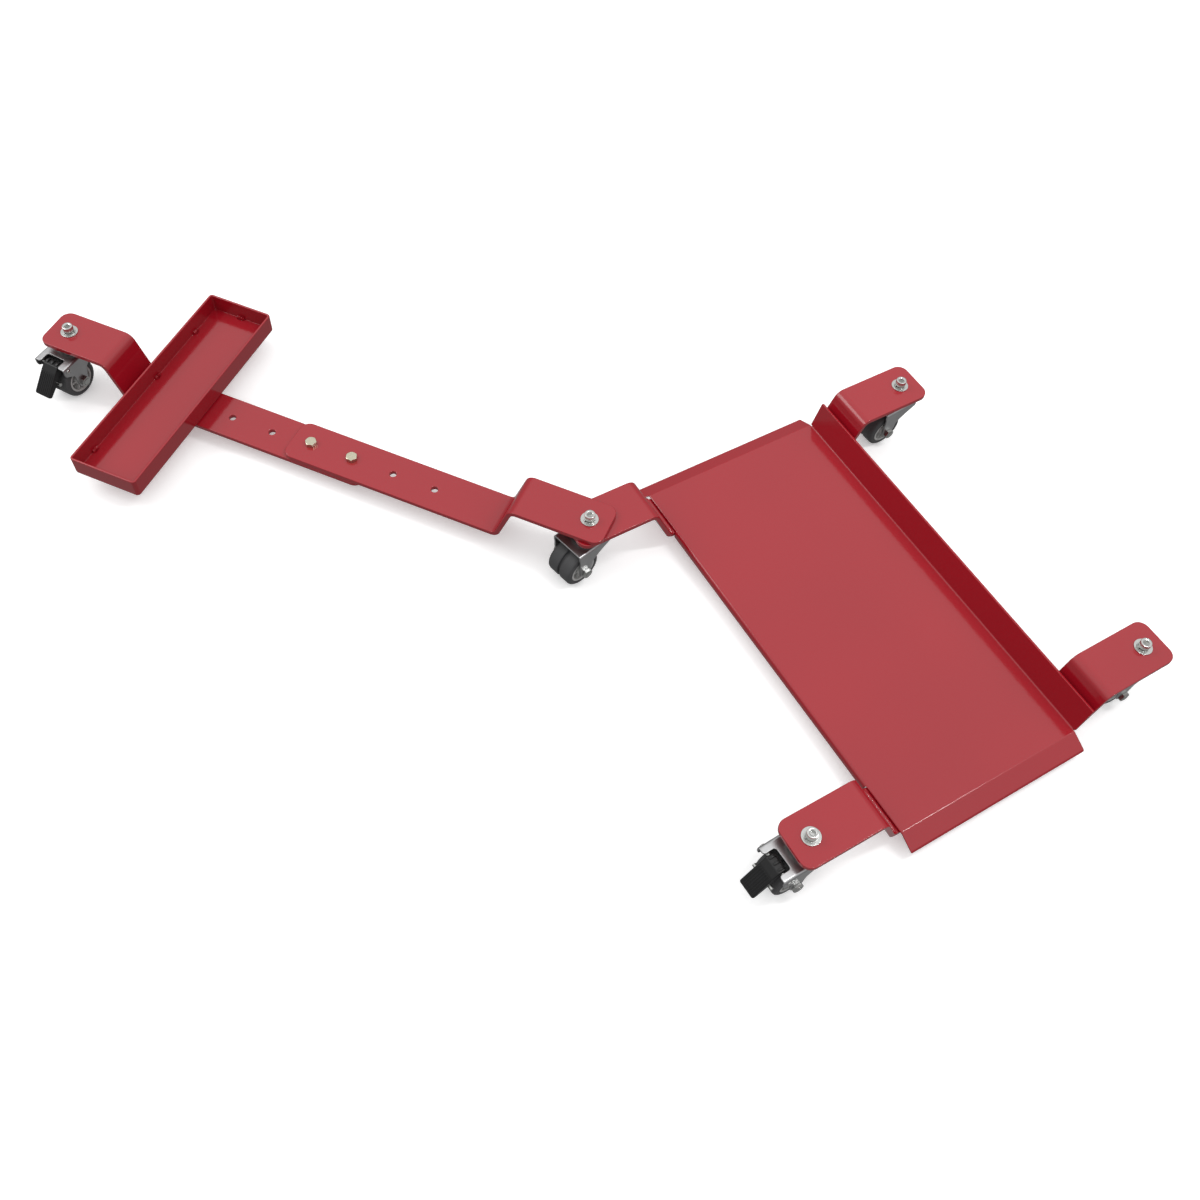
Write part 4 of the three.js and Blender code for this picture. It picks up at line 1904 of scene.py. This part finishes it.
    def swivel(self, group: Assembly) -> None:
        """Makes the kingpin with its washers and nut, the race and the fork.

        Args:
            group: The castor's pieces.
        """
        name = self.name
        body = self.carrier
        bore = self.bolt_radius + self.gap
        flat_radius = 10.8
        spring_radius = 7.6
        flat_top = self.seat + 1.2
        head_seat = self.seat + 2.5
        under = self.top - self.sheet - self.gap
        thread_end = 2.5
        length = head_seat - under + self.nut + thread_end
        head_radius = self.spanner / 2
        socket = 6.0
        kingpin = socket_bolt(head_radius, 2 * self.bolt_radius, socket, self.bolt_radius, length)
        # The turn is arbitrary, and differs from castor to castor.
        turn = Matrix.Translation((0, 0, head_seat)) @ Matrix.Rotation(0.4 * len(name), 4, "Z")
        group.add(f"{name}_kingpin_bolt", kingpin, ZINC, body, [f"{name}_kingpin"], turn)
        flat = steel_ring(bore, flat_radius, self.seat + 0.05, flat_top, 0.35)
        group.add(f"{name}_flat_washer", flat, ZINC, body, [f"{name}_kingpin_washer"])
        spring = split_ring(bore, spring_radius, flat_top + 0.03, head_seat - 0.03)
        group.add(f"{name}_spring_washer", spring, ZINC, body)
        nut = hexagon_nut(self.spanner, self.nut, bore)
        flip = Matrix.Translation((0, 0, under)) @ Matrix.Rotation(math.pi, 4, "X")
        group.add(f"{name}_lower_nut", nut, ZINC, body, [f"{name}_kingpin_nut"], flip)
        group.add(f"{name}_race", self.race(), ZINC, body, [f"{name}_swivel_race"])
        fork = self.fork()
        group.add(f"{name}_fork_sheet", fork, FORK_STEEL, f"{name}_yoke", [f"{name}_fork"])

    def wheel(self, group: Assembly) -> None:
        """Makes the tyre and the hub with its ribs.

        Args:
            group: The castor's pieces.
        """
        name = self.name
        body = f"{name}_wheel"
        centre = Matrix.Translation((self.trail, 0, self.wheel_radius))
        centre = centre @ Matrix.Rotation(-math.pi / 2, 4, "X")
        group.add(f"{name}_tread", self.tyre(), TYRE_RUBBER, body, [f"{name}_tyre"], centre)
        group.add(f"{name}_wheel_hub", self.hub(), HUB_NYLON, body, [f"{name}_hub"], centre)
        ribs = 6
        spokes = Repeat(ribs, turn=math.tau / ribs)
        group.grow(f"{name}_hub_ribs", spokes, HUB_NYLON, body, self.hub_rib(), centre)

    def axle(self, group: Assembly) -> None:
        """Makes the axle bolt and its nut.

        Args:
            group: The castor's pieces.
        """
        name = self.name
        body = f"{name}_yoke"
        outside = self.half_width + self.gap
        near = Matrix.Translation((self.trail, -outside, self.wheel_radius))
        near = near @ Matrix.Rotation(math.pi / 2, 4, "X")
        thread = 9.0
        thread_end = 0.7
        length = 2 * outside + self.axle_nut + thread_end
        bolt = hexagon_bolt(self.axle_spanner, self.axle_nut, self.bolt_radius, length, thread)
        group.add(f"{name}_axle", bolt, ZINC, body, [f"{name}_axle_bolt"], near)
        far = Matrix.Translation((self.trail, outside, self.wheel_radius))
        far = far @ Matrix.Rotation(-math.pi / 2, 4, "X")
        nut = hexagon_nut(self.axle_spanner, self.axle_nut, self.bolt_radius + 0.1)
        group.add(f"{name}_axle_end", nut, ZINC, body, [f"{name}_axle_nut"], far)

    def brake(self, group: Assembly) -> None:
        """Makes the pedal with its ribs and collars, its rivet and its bar.

        Args:
            group: The castor's pieces.
        """
        name = self.name
        body = f"{name}_pedal"
        lying = Matrix.Rotation(math.pi / 2, 4, "X")
        pin = Matrix.Translation((self.pin[0], 0, self.pin[1]))
        side = pin @ lying
        pedal = self.pedal()
        group.add(f"{name}_pedal_body", pedal, PEDAL_PLASTIC, body, [f"{name}_brake_pedal"], side)
        self.tread(group, pin)
        collar_half = 1.6
        collar = steel_ring(self.pin_radius + self.gap, 6.7, -collar_half, collar_half, 0.7)
        spread = 7.6
        collars = Repeat(3, step=(0.0, spread, 0.0))
        first = pin @ Matrix.Translation((0.0, -spread, 0.0))
        shape = collar.moved(lying)
        group.grow(f"{name}_pedal_collars", collars, PEDAL_PLASTIC, body, shape, first)
        bar_half = 16.0
        bar = softened_slab(ring((0, 0), 2.3, 28), -bar_half, bar_half, 0.4)
        low = Matrix.Translation((self.pin[0] + 13.2, 0, self.pin[1] - 16.3)) @ lying
        group.add(f"{name}_brake_bar", bar, ZINC, body, (), low)
        group.add(f"{name}_rivet", self.rivet(), ZINC, f"{name}_yoke", [f"{name}_brake_pin"], side)

    def tread(self, group: Assembly, pin: Matrix) -> None:
        """Makes the ribs on the pedal's tread.

        Args:
            group: The castor's pieces.
            pin: The place of the pedal's pin.
        """
        start = Vector((self.pedal_knee[0], 0.0, self.pedal_knee[1]))
        end = Vector((self.pedal_toe[0], 0.0, self.pedal_toe[1]))
        slope = math.atan2(start.z - end.z, end.x - start.x)
        half = 0.75
        flat = rectangle(2.0, -half, (end - start).length - 3.0, half)
        rib = softened_slab(softened(flat, 0.7, 4), -0.6, 0.55, 0.5)
        count = 7
        margin = 1.5
        pitch = (self.pedal_width - 2 * margin) / count
        first = Matrix.Translation(start + Vector((0, -pitch * (count - 1) / 2, 0)))
        place = pin @ first @ Matrix.Rotation(slope, 4, "Y")
        rows = Repeat(count, step=(0.0, pitch, 0.0))
        group.grow(f"{self.name}_pedal_ribs", rows, PEDAL_PLASTIC, f"{self.name}_pedal", rib, place)

    def rivet(self) -> Solid:
        """The pedal's rivet, with a domed head at each end.

        Returns:
            The closed body.
        """
        seat = self.half_width + 0.02
        dome = 1.7
        straight = 0.4
        steps = 6
        head = []
        for step in range(steps + 1):
            angle = math.pi / 2 * step / steps
            height = seat + straight + (dome - straight) * math.sin(angle)
            head.append((self.pin_head * math.cos(angle), height))
        head[-1] = (0.0, head[-1][1])
        upper = [(self.pin_radius, seat), (self.pin_head, seat), *head]
        lower = [(r, -z) for r, z in reversed(upper)]
        return turned([*lower, *upper], 40)


# ---------------------------------------------------------------- stage
@dataclass
class Studio:
    """The floor, the light and the camera, in metres.

    Attributes:
        eye: Where the camera stands.
        right: The direction to the right of its view.
        up: The direction up its view.
        lens: Its focal length, in millimetres.
        sensor: The width of its sensor, in millimetres.
        room_radius: How far the wall is.
        room_height: How high it is.
        sky_strength: How bright the sky is.
    """

    eye: Triple = (-0.47397, -0.78020, 1.24992)
    right: Triple = (0.86135, -0.50540, 0.05150)
    up: Triple = (0.40069, 0.73819, 0.54270)
    lens: float = 36.846
    sensor: float = 36.0
    room_radius: float = 9.0
    room_height: float = 6.0
    sky_strength: float = 1.14

    def backdrop(self) -> None:
        """Lays a pale floor that curves up into a wall all round."""
        radius = self.room_radius / MM
        wall = self.room_height / MM
        line = [(0.0, 0.0), (radius, 0.0), (radius, wall)]
        curve = softened(line, wall / 3, 24, closed=False)
        mesh = turned(curve, 128).mesh("backdrop")
        mesh.flip_normals()
        mesh.shade_smooth()
        mesh.materials.append(BACKDROP.material)
        backdrop = bpy.data.objects.new("backdrop", mesh)
        bpy.context.scene.collection.objects.link(backdrop)
        backdrop.visible_diffuse = False
        backdrop.visible_glossy = False
        backdrop.visible_shadow = False

    def sky(self) -> None:
        """Lights the room with white from above, which darkens towards the floor."""
        world = bpy.data.worlds.new("studio")
        world.use_nodes = True
        graph = Graph(world.node_tree)
        place = graph.node("ShaderNodeTexCoord", output="Generated")
        height = graph.node("ShaderNodeSeparateXYZ", {"Vector": place}, output="Z")
        ground, horizon, overhead = ((grey, grey, grey, 1.0) for grey in (0.27, 0.38, 1.0))
        low = graph.mix(height.rise(-0.15, 0.2), ground, horizon)
        light = graph.mix(height.rise(0.25, 0.8), low, overhead)
        glow = graph.node("ShaderNodeBackground", {"Color": light, "Strength": self.sky_strength})
        graph.node("ShaderNodeOutputWorld", {"Surface": glow})
        bpy.context.scene.world = world

    def lamp(self, name: str, eye: Triple, target: Triple, size: Pair, power: float) -> None:
        """Hangs a soft box.

        Args:
            name: The lamp's name.
            eye: Where it hangs.
            target: What it points at.
            size: Its width and height.
            power: Its power in watts.
        """
        light = bpy.data.lights.new(name, "AREA")
        light.shape = "RECTANGLE"
        light.size, light.size_y = size
        light.energy = power
        lamp = bpy.data.objects.new(name, light)
        lamp.location = eye
        lamp.rotation_euler = (Vector(target) - Vector(eye)).to_track_quat("-Z", "Y").to_euler()
        bpy.context.scene.collection.objects.link(lamp)

    def camera(self) -> None:
        """Places the camera."""
        data = bpy.data.cameras.new("camera")
        data.lens = self.lens
        data.sensor_width = self.sensor
        camera = bpy.data.objects.new("camera", data)
        right = Vector(self.right).normalized()
        back = right.cross(Vector(self.up)).normalized()
        up = back.cross(right)
        turn = Matrix((right, up, back)).transposed().to_4x4()
        camera.matrix_world = Matrix.Translation(self.eye) @ turn
        bpy.context.scene.collection.objects.link(camera)
        bpy.context.scene.camera = camera

    def build(self) -> None:
        """Makes the whole studio."""
        self.backdrop()
        self.sky()
        self.lamp("key_box", (-1.6, 1.9, 2.2), (0.0, 0.0, 0.0), (1.6, 1.6), 22.0)
        self.lamp("strip_box", (1.0, -0.75, 2.4), (0.2, -0.4, 0.0), (0.12, 1.0), 15.0)
        self.camera()
        bpy.context.scene.view_settings.view_transform = "Standard"


# ---------------------------------------------------------------- the dolly
def joint(name: str) -> dict:
    """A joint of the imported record, by its name."""
    return next(one for one in frame["joints"] if one["name"] == name)


def joint_place(name: str) -> Vector:
    """Where a joint is on the floor, in millimetres."""
    x, y, _ = joint(name)["pos_m"]
    return Vector((x / MM, y / MM, 0.0))


def castor_frame(name: str) -> Matrix:
    """A castor's own frame, found from its swivel and from its wheel's axle.

    Args:
        name: The start of its joints' names.

    Returns:
        The frame's place.
    """
    across_x, across_y, _ = joint(f"{name}_roll")["axis"]
    heading = math.atan2(-across_x, across_y)
    return Matrix.Translation(joint_place(f"{name}_swivel")) @ Matrix.Rotation(heading, 4, "Z")


def main() -> None:
    """Builds the dolly, then the studio."""
    deck = Deck(Matrix())
    corner = joint_place("rear_left_swivel") + Vector((deck.overhang, -deck.bar_inset, 0.0))
    deck.place = Matrix.Translation(corner)
    deck.build()
    pivot = joint_place("arm_pivot")
    reach = joint_place("stand_swivel") - pivot
    heading = Matrix.Rotation(math.atan2(reach.y, reach.x), 4, "Z")
    arm = StandArm(Matrix.Translation(pivot) @ heading)
    arm.build()
    strap = arm.strap_top
    castors = (
        ("rear_left", "frame", strap, True),
        ("rear_right", "frame", strap, False),
        ("front_right", "frame", strap, False),
        ("pivot", "frame", strap + arm.gap + arm.stock.thickness, False),
        ("stand", "arm", strap, True),
    )
    for name, carrier, seat, braked in castors:
        Castor(name, castor_frame(name), carrier, seat, braked).build()
    Studio().build()


if __name__ == "__main__":
    logging.basicConfig(level=logging.INFO, format="%(message)s")
    main()
